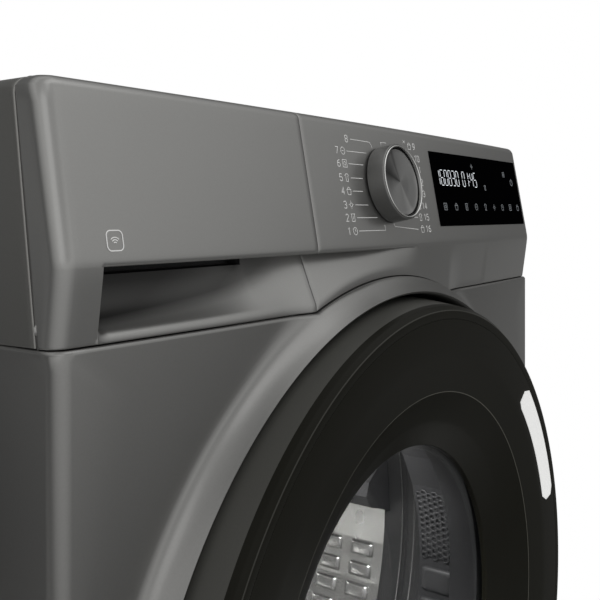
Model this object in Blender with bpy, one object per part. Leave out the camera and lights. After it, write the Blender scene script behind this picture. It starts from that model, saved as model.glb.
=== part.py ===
"""Free-standing heat-pump clothes dryer, built as named sub-parts.

Frame: origin on the floor under the middle of the machine, +X to the viewer's
right when looking at the door, -Y out of the front, +Z up.  Metres.
Most shapes are placed by their depth behind the flat of the steel front.
"""
import math

import bmesh
import bpy
from mathutils import Matrix, Vector

# Overall size and the main planes
HALF_W = 0.298            # half of the 596 mm width
HEIGHT = 0.850
FRONT_Y = -0.246          # flat of the steel front, at its side edges
REAR_DEPTH = 0.5392       # outer face of the rear panel
BOW = 0.008               # the whole front bulges forward by this in the middle
GAP = 0.0006              # seam between neighbouring outer panels
SHEET = 0.0015            # steel panel thickness
SHELL = 0.0025            # moulded plastic wall

# Door and drum share one horizontal axis
AXIS_Z = 0.4563
OPEN_R = 0.2670           # opening in the steel front
COLLAR_TOP_R = 0.2690     # crest of the raised collar round the opening
COLLAR_R = 0.3100         # where the collar melts into the flat
COLLAR_H = 0.0175
ARCH_R = 0.2800           # seam between steel front and fascia over the door
DOOR_R = 0.2603
DRUM_R = 0.2800
DRUM_T = 0.0015

# Fascia
SEAM_Z = 0.7183           # top of the steel front
CREASE_Z = 0.7585         # edge between the leaning face and the tucked-in face
CREASE_D = -0.0026
LEAN = 0.187              # depth gained per unit of height above the crease
CORNER_R = 0.0085
DRAWER_X = -0.0974        # right end of the water drawer
KNOB_X = 0.0030
KNOB_UP = 0.0462          # distance up the leaning face from the crease
KNOB_R = 0.0285
KNOB_H = 0.0155
WINDOW = (0.0832, 0.2860, 0.0140, 0.0775)   # x0, x1, up0, up1 on the leaning face

# Hinges
DOOR_PIN = (0.2500, -0.0330)        # x and depth of the vertical door pin
FLAP_PIN = (0.0013, 0.0300)         # depth and height of the service flap pivot

# Running gear
MOTOR = (0.100, 0.100)              # x and z of the motor shaft
PULLEY_R = 0.0123
ROLLER_R = 0.0200
ROLLER_ANGLE = math.radians(50.0)
BELT_D = (0.2095, 0.2205)
IDLER_R = 0.0140
IDLER_PIVOT = (0.150, 0.055)

MATERIALS = {
    "steel_paint": ((0.105, 0.103, 0.100), 0.38, 0.55),
    "fascia_paint": ((0.150, 0.148, 0.144), 0.38, 0.45),
    "side_paint": ((0.085, 0.083, 0.080), 0.42, 0.45),
    "bronze_black": ((0.016, 0.015, 0.012), 0.32, 0.15),
    "gloss_black": ((0.006, 0.006, 0.007), 0.06, 0.0),
    "glass": ((0.55, 0.57, 0.58), 0.03, 0.0),
    "bright_metal": ((0.75, 0.75, 0.74), 0.22, 1.0),
    "stainless": ((0.60, 0.60, 0.59), 0.26, 1.0),
    "zinc_sheet": ((0.48, 0.49, 0.50), 0.45, 0.9),
    "black_plastic": ((0.022, 0.022, 0.023), 0.55, 0.0),
    "grey_plastic": ((0.33, 0.34, 0.35), 0.55, 0.0),
    "white_plastic": ((0.78, 0.78, 0.76), 0.50, 0.0),
    "rubber": ((0.018, 0.018, 0.018), 0.80, 0.0),
    "felt": ((0.20, 0.19, 0.18), 0.95, 0.0),
    "board_green": ((0.02, 0.13, 0.06), 0.50, 0.0),
    "aluminium": ((0.70, 0.71, 0.72), 0.38, 1.0),
    "label_white": ((0.85, 0.85, 0.84), 0.50, 0.0),
}


def clear_scene():
    for obj in list(bpy.data.objects):
        bpy.data.objects.remove(obj, do_unlink=True)
    for mesh in list(bpy.data.meshes):
        bpy.data.meshes.remove(mesh)


def material(slot, name):
    """Each object gets its own Principled material."""
    colour, rough, metal = MATERIALS[slot]
    mat = bpy.data.materials.new(name + "_" + slot)
    mat.use_nodes = True
    shader = mat.node_tree.nodes["Principled BSDF"]
    shader.inputs["Base Color"].default_value = (*colour, 1.0)
    shader.inputs["Roughness"].default_value = rough
    shader.inputs["Metallic"].default_value = metal
    if slot == "glass":
        shader.inputs["Alpha"].default_value = 0.35
    mat.diffuse_color = (*colour, 1.0)
    return mat


def depth(d):
    return FRONT_Y + d


def bow(x):
    return -BOW * (1.0 - (x / HALF_W) ** 2)


def collar(r):
    """Forward lift of the steel and the fascia close to the door opening."""
    t = min(max((COLLAR_R - r) / (COLLAR_R - COLLAR_TOP_R), 0.0), 1.0)
    return -COLLAR_H * t * t


def radius_at(x, z):
    return math.hypot(x, z - AXIS_Z)


def seam_depth(z):
    """Depth of the seam between fascia and side panel at height z."""
    return 0.0153 + 0.133 * (z - 0.7176)


def to_object(bm, name, slot, smooth=False, origin=(0.0, 0.0, 0.0)):
    """Close off a bmesh as an object whose origin is at the given point."""
    bmesh.ops.recalc_face_normals(bm, faces=bm.faces)
    bmesh.ops.translate(bm, verts=bm.verts, vec=-Vector(origin))
    mesh = bpy.data.meshes.new(name)
    bm.to_mesh(mesh)
    bm.free()
    obj = bpy.data.objects.new(name, mesh)
    obj.location = origin
    bpy.context.collection.objects.link(obj)
    mesh.materials.append(material(slot, name))
    if smooth:
        mesh.shade_smooth()
        mesh.set_sharp_from_angle(angle=math.radians(32.0))
    return obj


def add_box(bm, lo, hi):
    corners = [(x, y, z) for x in (lo[0], hi[0]) for y in (lo[1], hi[1]) for z in (lo[2], hi[2])]
    verts = [bm.verts.new(c) for c in corners]
    for quad in ((0, 1, 3, 2), (4, 6, 7, 5), (0, 4, 5, 1), (2, 3, 7, 6), (0, 2, 6, 4), (1, 5, 7, 3)):
        bm.faces.new([verts[i] for i in quad])
    return verts


def box(name, slot, x, d, z, bevel=0.0, origin=(0.0, 0.0, 0.0)):
    """Block from ranges of x, depth and z, with optional rounded edges."""
    bm = bmesh.new()
    add_box(bm, (x[0], depth(d[0]), z[0]), (x[1], depth(d[1]), z[1]))
    if bevel:
        bmesh.ops.recalc_face_normals(bm, faces=bm.faces)
        bmesh.ops.bevel(bm, geom=bm.edges[:], offset=bevel, segments=2, affect="EDGES", profile=0.5)
    return to_object(bm, name, slot, origin=origin)


def turned(name, slot, profile, centre, axis="Y", steps=32, frame=None):
    """Solid of revolution.

    profile is a closed loop of (radius, along); a profile that starts and ends
    on the axis is left open there and capped by its two poles.
    """
    bm = bmesh.new()
    to_pole = profile[0][0] < 1e-7 and profile[-1][0] < 1e-7
    rings = []
    for r, a in profile:
        if r < 1e-7:
            rings.append([bm.verts.new((0.0, 0.0, a))])
            continue
        ring = []
        for i in range(steps):
            t = 2.0 * math.pi * i / steps
            ring.append(bm.verts.new((r * math.cos(t), r * math.sin(t), a)))
        rings.append(ring)
    last = len(rings) - 1 if to_pole else len(rings)
    for k in range(last):
        one, two = rings[k], rings[(k + 1) % len(rings)]
        for i in range(steps):
            j = (i + 1) % steps
            if len(one) == 1 and len(two) == 1:
                continue
            if len(one) == 1:
                bm.faces.new((one[0], two[i], two[j]))
            elif len(two) == 1:
                bm.faces.new((one[i], one[j], two[0]))
            else:
                bm.faces.new((one[i], one[j], two[j], two[i]))
    turn = {"Z": Matrix.Identity(4), "Y": Matrix.Rotation(math.radians(-90.0), 4, "X"),
            "X": Matrix.Rotation(math.radians(90.0), 4, "Y")}[axis]
    place = frame if frame is not None else Matrix.Translation(centre) @ turn
    bmesh.ops.transform(bm, matrix=place, verts=bm.verts)
    obj = to_object(bm, name, slot, smooth=True, origin=tuple(place.translation))
    bpy.context.view_layer.update()
    return obj


def prism(name, slot, outline, span, axis="Y", origin=(0.0, 0.0, 0.0), smooth=False):
    """Straight extrusion of a 2-D outline along one world axis."""
    def point(p, s):
        if axis == "X":
            return (s, p[0], p[1])
        if axis == "Y":
            return (p[0], s, p[1])
        return (p[0], p[1], s)

    bm = bmesh.new()
    near = [bm.verts.new(point(p, span[0])) for p in outline]
    far = [bm.verts.new(point(p, span[1])) for p in outline]
    bm.faces.new(near)
    bm.faces.new(list(reversed(far)))
    count = len(outline)
    for i in range(count):
        j = (i + 1) % count
        bm.faces.new((near[i], far[i], far[j], near[j]))
    return to_object(bm, name, slot, smooth=smooth, origin=origin)


def loft(name, slot, sections):
    """Skin between matching cross-sections, closed by its two end faces."""
    bm = bmesh.new()
    rows = [[bm.verts.new(p) for p in section] for section in sections]
    count = len(rows[0])
    bm.faces.new(rows[0])
    bm.faces.new(list(reversed(rows[-1])))
    for one, two in zip(rows, rows[1:]):
        for i in range(count):
            j = (i + 1) % count
            bm.faces.new((one[i], two[i], two[j], one[j]))
    return to_object(bm, name, slot)


def shell(name, slot, outer, inner, faces, smooth=False):
    """Wall between two point sets that share one face list."""
    bm = bmesh.new()
    out_v = [bm.verts.new(p) for p in outer]
    in_v = [bm.verts.new(p) for p in inner]
    edges = {}
    for face in faces:
        bm.faces.new([out_v[i] for i in face])
        bm.faces.new([in_v[i] for i in reversed(face)])
        for i, a in enumerate(face):
            b = face[(i + 1) % len(face)]
            edges[(a, b)] = edges.get((a, b), 0) + 1
    for a, b in list(edges):
        if (b, a) not in edges:
            bm.faces.new((out_v[b], out_v[a], in_v[a], in_v[b]))
    return to_object(bm, name, slot, smooth=smooth)


def combine(target, tool, operation="DIFFERENCE"):
    """Boolean with the exact solver; the tool is used up."""
    mod = target.modifiers.new("boolean", "BOOLEAN")
    mod.operation = operation
    mod.solver = "EXACT"
    mod.object = tool
    bpy.context.view_layer.update()
    graph = bpy.context.evaluated_depsgraph_get()
    mesh = bpy.data.meshes.new_from_object(target.evaluated_get(graph))
    target.modifiers.clear()
    old = target.data
    target.data = mesh
    mesh.name = target.name
    bpy.data.meshes.remove(old)
    while len(mesh.materials) > 1:
        mesh.materials.pop(index=len(mesh.materials) - 1)
    spare = tool.data
    bpy.data.objects.remove(tool, do_unlink=True)
    bpy.data.meshes.remove(spare)
    tidy = bmesh.new()
    tidy.from_mesh(mesh)
    bmesh.ops.remove_doubles(tidy, verts=tidy.verts, dist=1e-6)
    tidy.to_mesh(mesh)
    tidy.free()
    return target


def merged(tools):
    """Separate cutters as one object."""
    bm = bmesh.new()
    for tool in tools:
        piece = tool.data
        piece.transform(tool.matrix_world)
        bm.from_mesh(piece)
        bpy.data.objects.remove(tool, do_unlink=True)
        bpy.data.meshes.remove(piece)
    return to_object(bm, "cutter", "rubber")


def cutter_box(x, d, z):
    return box("cutter", "rubber", x, d, z)


def cutter_rod(r, centre, span, axis="Y", steps=16, frame=None):
    profile = [(0.0, span[0]), (r, span[0]), (r, span[1]), (0.0, span[1])]
    return turned("cutter", "rubber", profile, centre, axis=axis, steps=steps, frame=frame)


def bend_front(obj, lift=False):
    """Bulge the front forward and, if asked, lift it round the door opening."""
    place = obj.matrix_world.copy()
    back = place.inverted()
    for vert in obj.data.vertices:
        p = place @ vert.co
        if p.y > depth(0.045):
            continue
        shift = bow(p.x)
        if lift:
            shift += collar(radius_at(p.x, p.z))
        vert.co = back @ Vector((p.x, p.y + shift, p.z))
    obj.data.update()


def face_frame(x, up, out=0.0):
    """Matrix at a point of the leaning fascia face: X right, Y up the slope, Z outwards."""
    angle = math.atan(LEAN)
    right = Vector((1.0, 0.0, 0.0))
    slope = Vector((0.0, math.sin(angle), math.cos(angle)))
    normal = right.cross(slope)
    spot = Vector((x, depth(CREASE_D), CREASE_Z)) + slope * up + normal * out
    frame = Matrix((right, slope, normal)).transposed().to_4x4()
    frame.translation = spot + Vector((0.0, bow(x), 0.0))
    return frame


# ---------------------------------------------------------------- outer panels

def opening_angles(x_half, z_lo, z_hi, count):
    """Even angles round the door axis plus those of the outline's corners."""
    special = [math.atan2(z - AXIS_Z, x) for x in (x_half, -x_half) for z in (z_lo, z_hi)]
    if z_hi - AXIS_Z < ARCH_R:
        arch = math.asin((z_hi - AXIS_Z) / (ARCH_R - GAP / 2))
        special += [arch, math.pi - arch]
    special = [a % (2.0 * math.pi) for a in special]
    angles = list(special)
    for i in range(count):
        a = 2.0 * math.pi * i / count
        if all(abs(a - s) > math.radians(2.0) for s in special):
            angles.append(a)
    return sorted(angles)


def outline_radius(a, x_half, z_lo, z_hi, arch):
    ca, sa = math.cos(a), math.sin(a)
    limits = []
    if abs(ca) > 1e-9:
        limits.append(x_half / abs(ca))
    if sa > 1e-9:
        top = (z_hi - AXIS_Z) / sa
        limits.append(max(top, arch) if arch else top)
    if sa < -1e-9:
        limits.append((AXIS_Z - z_lo) / -sa)
    return min(limits)


def build_front_panel():
    """Bowed steel front with the collar, the arch on top and wrapped side edges."""
    x_half, z_lo, z_hi = HALF_W - CORNER_R, 0.1000, SEAM_Z - GAP / 2
    arch = ARCH_R - GAP / 2
    angles = opening_angles(x_half, z_lo, z_hi, 48)
    rows = [OPEN_R, OPEN_R, COLLAR_TOP_R, 0.2740, 0.2820, 0.2940, COLLAR_R]
    outer, inner, faces = [], [], []
    for k in range(len(rows) + 1):
        for a in angles:
            edge = outline_radius(a, x_half, z_lo, z_hi, arch)
            r = edge if k == len(rows) else min(rows[k], edge - 0.0005 * (len(rows) - k))
            x, z = r * math.cos(a), AXIS_Z + r * math.sin(a)
            if k == 0:
                y_out = y_in = 0.0100
                r_in = r + SHEET
            elif k == 1:
                y_out = y_in = -COLLAR_H + 0.0025
                r_in = r + SHEET
            elif k == 2:
                y_out = collar(r)
                y_in = y_out + SHEET
                r_in = r + 0.0008
            else:
                y_out = collar(r)
                y_in = y_out + SHEET
                r_in = r
            x_in, z_in = r_in * math.cos(a), AXIS_Z + r_in * math.sin(a)
            outer.append((x, depth(y_out + bow(x)), z))
            inner.append((x_in, depth(y_in + bow(x_in)), z_in))
    count = len(angles)
    for k in range(len(rows)):
        for i in range(count):
            j = (i + 1) % count
            faces.append((k * count + i, k * count + j, (k + 1) * count + j, (k + 1) * count + i))
    base = len(rows) * count
    for side in (1.0, -1.0):
        edge = [base + i for i in range(count) if abs(outer[base + i][0] - side * x_half) < 1e-6]
        edge.sort(key=lambda i: outer[i][2])
        previous = edge
        columns = [math.radians(a) for a in (30.0, 60.0, 90.0)] + [None]
        for a in columns:
            current = []
            for i in edge:
                z = outer[i][2]
                if a is None:
                    ox, oy, ix, iy = HALF_W, 0.0600, HALF_W - SHEET, 0.0600
                else:
                    ox = x_half + CORNER_R * math.sin(a)
                    oy = CORNER_R * (1.0 - math.cos(a))
                    ix = x_half + (CORNER_R - SHEET) * math.sin(a)
                    iy = CORNER_R - (CORNER_R - SHEET) * math.cos(a)
                lift = bow(x_half) * (1.0 - math.sin(a if a else math.pi / 2))
                outer.append((side * ox, depth(oy + lift), z))
                inner.append((side * ix, depth(iy + lift), z))
                current.append(len(outer) - 1)
            for p in range(len(edge) - 1):
                quad = (previous[p], current[p], current[p + 1], previous[p + 1])
                faces.append(tuple(reversed(quad)) if side > 0 else quad)
            previous = current
    return shell("front_panel", "steel_paint", outer, inner, faces, smooth=True)


def fascia_skin(name, slot, x_list, left_wrap, right_wrap):
    """Fascia shell over the given x positions, with or without its wrapped ends."""
    rows = [
        # depth, z, side inset, corner radius, side end depth, inward share, inward drop
        (0.0004, SEAM_Z + GAP / 2, 0.0, CORNER_R, None, 1.0, 0.0),
        (CREASE_D + 0.0006, CREASE_Z - 0.0040, 0.0, CORNER_R, None, 1.0, 0.0),
        (CREASE_D, CREASE_Z, 0.0, CORNER_R, None, 1.0, 0.0),
        (CREASE_D + 0.0013, CREASE_Z + 0.0070, 0.0, CORNER_R, None, 1.0, 0.0),
        (CREASE_D + 0.0816 * LEAN, CREASE_Z + 0.0816, 0.0, CORNER_R, 0.0316, 1.0, 0.0),
        (CREASE_D + 0.0872 * LEAN, CREASE_Z + 0.0872, 0.0004, CORNER_R, 0.0319, 1.0, -0.0008),
        (CREASE_D + 0.0890 * LEAN + 0.0012, HEIGHT - 0.0010, 0.0022, 0.0075, 0.0313, 0.7, -0.0020),
        (CREASE_D + 0.0915 * LEAN + 0.0045, HEIGHT, 0.0055, 0.0060, 0.0300, 0.2, -SHELL),
        (0.0255, HEIGHT, 0.0080, 0.0038, 0.0296, 0.0, -SHELL),
    ]
    arcs = [math.radians(a) for a in (90.0, 67.5, 45.0, 22.5)]
    outer, inner, width = [], [], 0
    for d, z, inset, radius, end, share, drop in rows:
        side_end = seam_depth(z) if end is None else end
        centre_x = HALF_W - inset - radius
        for points, r, dz in ((outer, radius, 0.0), (inner, radius - SHELL * share, drop)):
            line = []
            if left_wrap:
                line.append((-(centre_x + r), side_end, z + dz))
                line += [(-(centre_x + r * math.sin(a)), d + radius - r * math.cos(a), z + dz)
                         for a in arcs]
            for x in x_list:
                line.append((min(max(x, -centre_x), centre_x), d + radius - r, z + dz))
            if right_wrap:
                line += [(centre_x + r * math.sin(a), d + radius - r * math.cos(a), z + dz)
                         for a in reversed(arcs)]
                line.append((centre_x + r, side_end, z + dz))
            points += [(x, depth(y), zz) for x, y, zz in line]
            width = len(line)
    faces = []
    for k in range(len(rows) - 1):
        for i in range(width - 1):
            a = k * width + i
            faces.append((a, a + 1, a + width + 1, a + width))
    return shell(name, slot, outer, inner, faces)


def recess_section(x, reach):
    """Cross-section of the finger scoop under the crease, open to the front."""
    return [(x, depth(-0.0400), CREASE_Z - 0.0018), (x, depth(reach), CREASE_Z - 0.0018),
            (x, depth(0.0002), 0.7222), (x, depth(-0.0400), 0.7212)]


def build_drawer_front():
    """Left part of the fascia: front of the water drawer with the finger scoop."""
    end = DRAWER_X - GAP / 2
    columns = [-0.2895, -0.2600, -0.2200, -0.1800, -0.1400, end]
    obj = fascia_skin("water_drawer_front", "fascia_paint", columns, True, False)
    combine(obj, cutter_box((-0.2830, end - 0.0010), (0.0010, 0.0300), (0.7196, 0.7680)), "UNION")
    combine(obj, loft("cutter", "rubber", [recess_section(-0.2725, 0.0240),
                                           recess_section(DRAWER_X + 0.0100, 0.0144)]))
    combine(obj, cutter_box((-0.2705, -0.1480), (0.0080, 0.0225), (0.7500, 0.7660)))
    bend_front(obj, lift=True)
    return obj


def build_control_fascia():
    start = DRAWER_X + GAP / 2
    columns = [start, -0.0650, -0.0300, 0.0, 0.0300, 0.0650, 0.1000, 0.1450, 0.1900, 0.2400, 0.2895]
    obj = fascia_skin("control_fascia", "fascia_paint", columns, False, True)
    combine(obj, cutter_box((start + 0.0010, 0.0550), (0.0010, 0.0200), (0.7196, 0.7600)), "UNION")
    combine(obj, loft("cutter", "rubber", [recess_section(DRAWER_X - 0.0100, 0.0158),
                                           recess_section(0.0480, -0.0022)]))
    combine(obj, cutter_rod(ARCH_R + GAP / 2, (0.0, FRONT_Y, AXIS_Z), (-0.08, 0.08), steps=96))
    frame = face_frame(KNOB_X, KNOB_UP)
    frame.translation.y -= bow(KNOB_X)
    combine(obj, cutter_rod(0.0062, None, (-0.02, 0.02), steps=16, frame=frame))
    x0, x1, up0, up1 = WINDOW
    hole = bmesh.new()
    add_box(hole, (x0 - 0.0004, up0 - 0.0004, -0.02), (x1 + 0.0004, up1 + 0.0004, 0.02))
    flat = face_frame(0.0, 0.0)
    flat.translation.y -= bow(0.0)
    bmesh.ops.transform(hole, matrix=flat, verts=hole.verts)
    combine(obj, to_object(hole, "cutter", "rubber"))
    bend_front(obj, lift=True)
    return obj


def build_window():
    """Gloss-black display window, bowed like the fascia it sits in."""
    x0, x1, up0, up1 = WINDOW
    flat = face_frame(0.0, 0.0)
    flat.translation.y -= bow(0.0)
    sections = []
    steps = 6
    for i in range(steps + 1):
        x = x0 + (x1 - x0) * i / steps
        loop = [(up0, -0.0028), (up1, -0.0028), (up1, 0.0005), (up0, 0.0005)]
        sections.append([flat @ Vector((x, up, out)) for up, out in loop])
    obj = loft("display_window", "gloss_black", sections)
    bend_front(obj)
    return obj


def build_side_panel(name, side):
    """Steel side with the notch for the wrapped front and a rounded top edge."""
    rows = [(0.0, 0.0200, 0.0606), (0.0, SEAM_Z, 0.0606), (0.0, SEAM_Z + 0.0008, 0.0160),
            (0.0, 0.7800, seam_depth(0.7800) + GAP), (0.0, 0.8400, 0.0323),
            (0.0011, 0.8460, 0.0327), (0.0036, 0.8489, 0.0320), (0.0080, HEIGHT, 0.0308),
            (0.0180, HEIGHT, 0.0308)]
    inward = [(1, 0), (1, 0), (1, 0), (1, 0), (1, 0), (0.9, -0.45), (0.6, -0.8), (0, -1), (0, -1)]
    outer, inner, faces = [], [], []
    for (inset, z, front), (nx, nz) in zip(rows, inward):
        for d in (front, 0.2800, REAR_DEPTH):
            outer.append((side * (HALF_W - inset), depth(d), z))
            inner.append((side * (HALF_W - inset - nx * SHEET), depth(d), z + nz * SHEET))
    for k in range(len(rows) - 1):
        for i in range(2):
            a = 3 * k + i
            faces.append((a, a + 3, a + 4, a + 1))
    return shell(name, "side_paint", outer, inner, faces)


def build_top_pan():
    """Top cover as a shallow tray turned upside down."""
    obj = box("top_cover", "side_paint", (-HALF_W + 0.0185, HALF_W - 0.0185), (0.0262, REAR_DEPTH),
              (HEIGHT - 0.0115, HEIGHT))
    combine(obj, cutter_box((-HALF_W + 0.0200, HALF_W - 0.0200), (0.0277, REAR_DEPTH - SHEET),
                            (HEIGHT - 0.0200, HEIGHT - SHEET)))
    bm = bmesh.new()
    bm.from_mesh(obj.data)
    for i in range(1, 8):
        x = -0.28 + 0.07 * i
        bmesh.ops.bisect_plane(bm, geom=bm.verts[:] + bm.edges[:] + bm.faces[:],
                               plane_co=(x, 0.0, 0.0), plane_no=(1.0, 0.0, 0.0))
    bm.to_mesh(obj.data)
    bm.free()
    bend_front(obj)
    return obj


def build_rear_panel():
    obj = box("rear_panel", "zinc_sheet", (-HALF_W + 0.0022, HALF_W - 0.0022),
              (REAR_DEPTH - 0.0018, REAR_DEPTH), (0.0220, HEIGHT - 0.0125))
    tools = [cutter_rod(0.0098, (0.215, FRONT_Y, 0.085), (0.50, 0.56), steps=16)]
    for column in (-0.150, 0.150):
        for i in range(4):
            z = 0.580 + 0.035 * i
            tools.append(cutter_box((column - 0.070, column + 0.070), (0.50, 0.56), (z, z + 0.010)))
    bpy.context.view_layer.update()
    combine(obj, merged(tools))
    return obj


def build_kick_panel():
    """Plastic plinth under the steel front with the opening for the service flap."""
    obj = box("kick_panel", "black_plastic", (-HALF_W, HALF_W), (0.0, 0.0600), (0.0200, 0.0994))
    combine(obj, cutter_box((-HALF_W + 0.0025, HALF_W - 0.0025), (0.0025, 0.0700), (0.0100, 0.0969)))
    combine(obj, cutter_box((-0.2700, -0.1200), (-0.0200, 0.0200), (0.0280, 0.0900)))
    return obj


def build_service_flap():
    d, z = FLAP_PIN
    obj = box("service_flap", "black_plastic", (-0.2693, -0.1207), (0.0, 0.0025), (0.0290, 0.0893),
              origin=(-0.195, depth(d), z))
    return obj


# ------------------------------------------------------------------------ door

def build_door():
    centre = (0.0, FRONT_Y, AXIS_Z)
    ring = turned("door_outer_ring", "bronze_black", [
        (0.2498, -0.0250), (0.2498, -0.0462), (0.2562, -0.0466), (0.2592, -0.0432),
        (DOOR_R, -0.0385), (0.2640, -0.0120), (0.2630, -0.0005), (0.2440, -0.0005)],
        centre, steps=48)
    low, high = AXIS_Z - 0.0545, AXIS_Z + 0.0545
    combine(ring, cutter_box((0.2415, 0.2700), (-0.0408, 0.0200), (low, high)))
    turned("door_front_annulus", "bronze_black", [
        (0.2488, -0.0462), (0.2230, -0.0442), (0.1955, -0.0400), (0.1720, -0.0290), (0.1525, -0.0178),
        (0.1525, -0.0132), (0.1560, -0.0132), (0.1955, -0.0358), (0.2488, -0.0424)],
        centre, steps=48)
    turned("door_glass", "glass", [
        (0.0, 0.0880), (0.1060, 0.0840), (0.1290, 0.0680), (0.1470, -0.0128), (0.1605, -0.0128),
        (0.1605, -0.0088), (0.1510, -0.0088), (0.1332, 0.0705), (0.1080, 0.0882), (0.0, 0.0920)],
        centre, steps=40)
    frame = turned("door_inner_frame", "black_plastic", [
        (0.2400, -0.0030), (0.2400, 0.0015), (0.1960, 0.0037), (0.1740, 0.0037),
        (0.1705, 0.0240), (0.1655, 0.0240), (0.1655, -0.0030)],
        centre, steps=40)
    combine(frame, cutter_box((0.2330, 0.2600), (-0.0200, 0.0200), (low, high)))
    turned("door_seal", "rubber", [
        (0.1960, 0.0136), (0.1960, 0.0040), (0.1840, 0.0040), (0.1840, 0.0136)], centre, steps=32)
    x, d = DOOR_PIN
    pin_spot = (x, depth(d), AXIS_Z)
    arm = prism("door_hinge_arm", "zinc_sheet", [
        (0.2250, depth(-0.0360)), (0.2540, depth(-0.0380)), (0.2550, depth(-0.0350)),
        (0.2545, depth(-0.0290)), (0.2420, depth(-0.0290)), (0.2250, depth(-0.0330))],
        (AXIS_Z - 0.0385, AXIS_Z + 0.0385), axis="Z", origin=pin_spot)
    combine(arm, cutter_rod(0.0027, pin_spot, (-0.08, 0.08), axis="Z", steps=12))
    turned("door_hinge_pin", "bright_metal", [
        (0.0, -0.0536), (0.0024, -0.0536), (0.0024, 0.0536), (0.0, 0.0536)],
        pin_spot, axis="Z", steps=12)
    plate = box("door_hinge_bracket", "zinc_sheet", (0.2380, 0.2600), (0.0112, 0.0137),
                (AXIS_Z - 0.0600, AXIS_Z + 0.0600))
    for z in (AXIS_Z - 0.0460, AXIS_Z + 0.0460):
        combine(plate, cutter_box((0.2462, 0.2538), (-0.0375, 0.0125), (z - 0.0060, z + 0.0060)),
                "UNION")
    combine(plate, cutter_rod(0.0027, pin_spot, (-0.08, 0.08), axis="Z", steps=12))
    hook = box("door_latch_hook", "zinc_sheet", (-0.2280, -0.2230), (0.0025, 0.0340),
               (AXIS_Z - 0.0070, AXIS_Z + 0.0070))
    combine(hook, cutter_box((-0.2400, -0.2200), (0.0240, 0.0300), (AXIS_Z - 0.0090, AXIS_Z + 0.0035)))
    latch = box("door_latch", "black_plastic", (-0.2440, -0.2140), (0.0170, 0.0440),
                (AXIS_Z - 0.0280, AXIS_Z + 0.0280), bevel=0.0015)
    combine(latch, cutter_box((-0.2360, -0.2190), (0.0100, 0.0400), (AXIS_Z - 0.0100, AXIS_Z + 0.0100)))
    build_label()


def build_label():
    """Blank self-adhesive label that follows the right side of the door ring."""
    outer_r, inner_r, flat_d = 0.2485, 0.2290, -0.0472
    top, low = math.radians(43.0), math.radians(15.0)
    steps = 8
    rim = []
    for i in range(steps + 1):
        a = top + (low - top) * i / steps
        rim.append((outer_r * math.cos(a), AXIS_Z + outer_r * math.sin(a)))
    for i in range(steps + 1):
        a = low + (top - low) * i / steps
        rim.append((inner_r * math.cos(a), AXIS_Z + inner_r * math.sin(a)))
    prism("door_label", "label_white", rim, (depth(flat_d), depth(flat_d + 0.0004)))


# ------------------------------------------------------------------------ knob

def build_knob():
    frame = face_frame(KNOB_X, KNOB_UP)
    turned("programme_knob", "fascia_paint", [
        (0.0, KNOB_H - 0.0030), (0.0235, KNOB_H - 0.0016), (0.0250, KNOB_H - 0.0026),
        (0.0262, KNOB_H - 0.0026), (0.0262, KNOB_H - 0.0060), (KNOB_R - 0.0003, KNOB_H - 0.0060),
        (KNOB_R + 0.0003, 0.0007), (KNOB_R - 0.0025, 0.0007), (KNOB_R - 0.0030, 0.0100),
        (0.0030, 0.0100), (0.0030, -0.0120), (0.0, -0.0120)],
        None, steps=32, frame=frame)
    turned("knob_trim_ring", "bright_metal", [
        (0.0266, KNOB_H - 0.0056), (0.0266, KNOB_H), (KNOB_R - 0.0010, KNOB_H),
        (KNOB_R - 0.0003, KNOB_H - 0.0009), (KNOB_R - 0.0003, KNOB_H - 0.0056)],
        None, steps=32, frame=frame)
    body = bmesh.new()
    add_box(body, (-0.0110, -0.0110, -0.0160), (0.0110, 0.0110, -0.0055))
    bmesh.ops.transform(body, matrix=frame, verts=body.verts)
    encoder = to_object(body, "knob_encoder", "black_plastic")
    combine(encoder, cutter_rod(0.0033, None, (-0.0130, 0.01), steps=12, frame=frame))


def build_electronics():
    frame = face_frame(0.1846, 0.0450)
    frame.translation.y -= bow(0.1846)
    board = bmesh.new()
    add_box(board, (-0.0960, -0.0300, -0.0150), (0.0960, 0.0300, -0.0134))
    bmesh.ops.transform(board, matrix=frame, verts=board.verts)
    to_object(board, "control_board", "board_green")


# -------------------------------------------------------------- water drawer

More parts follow.
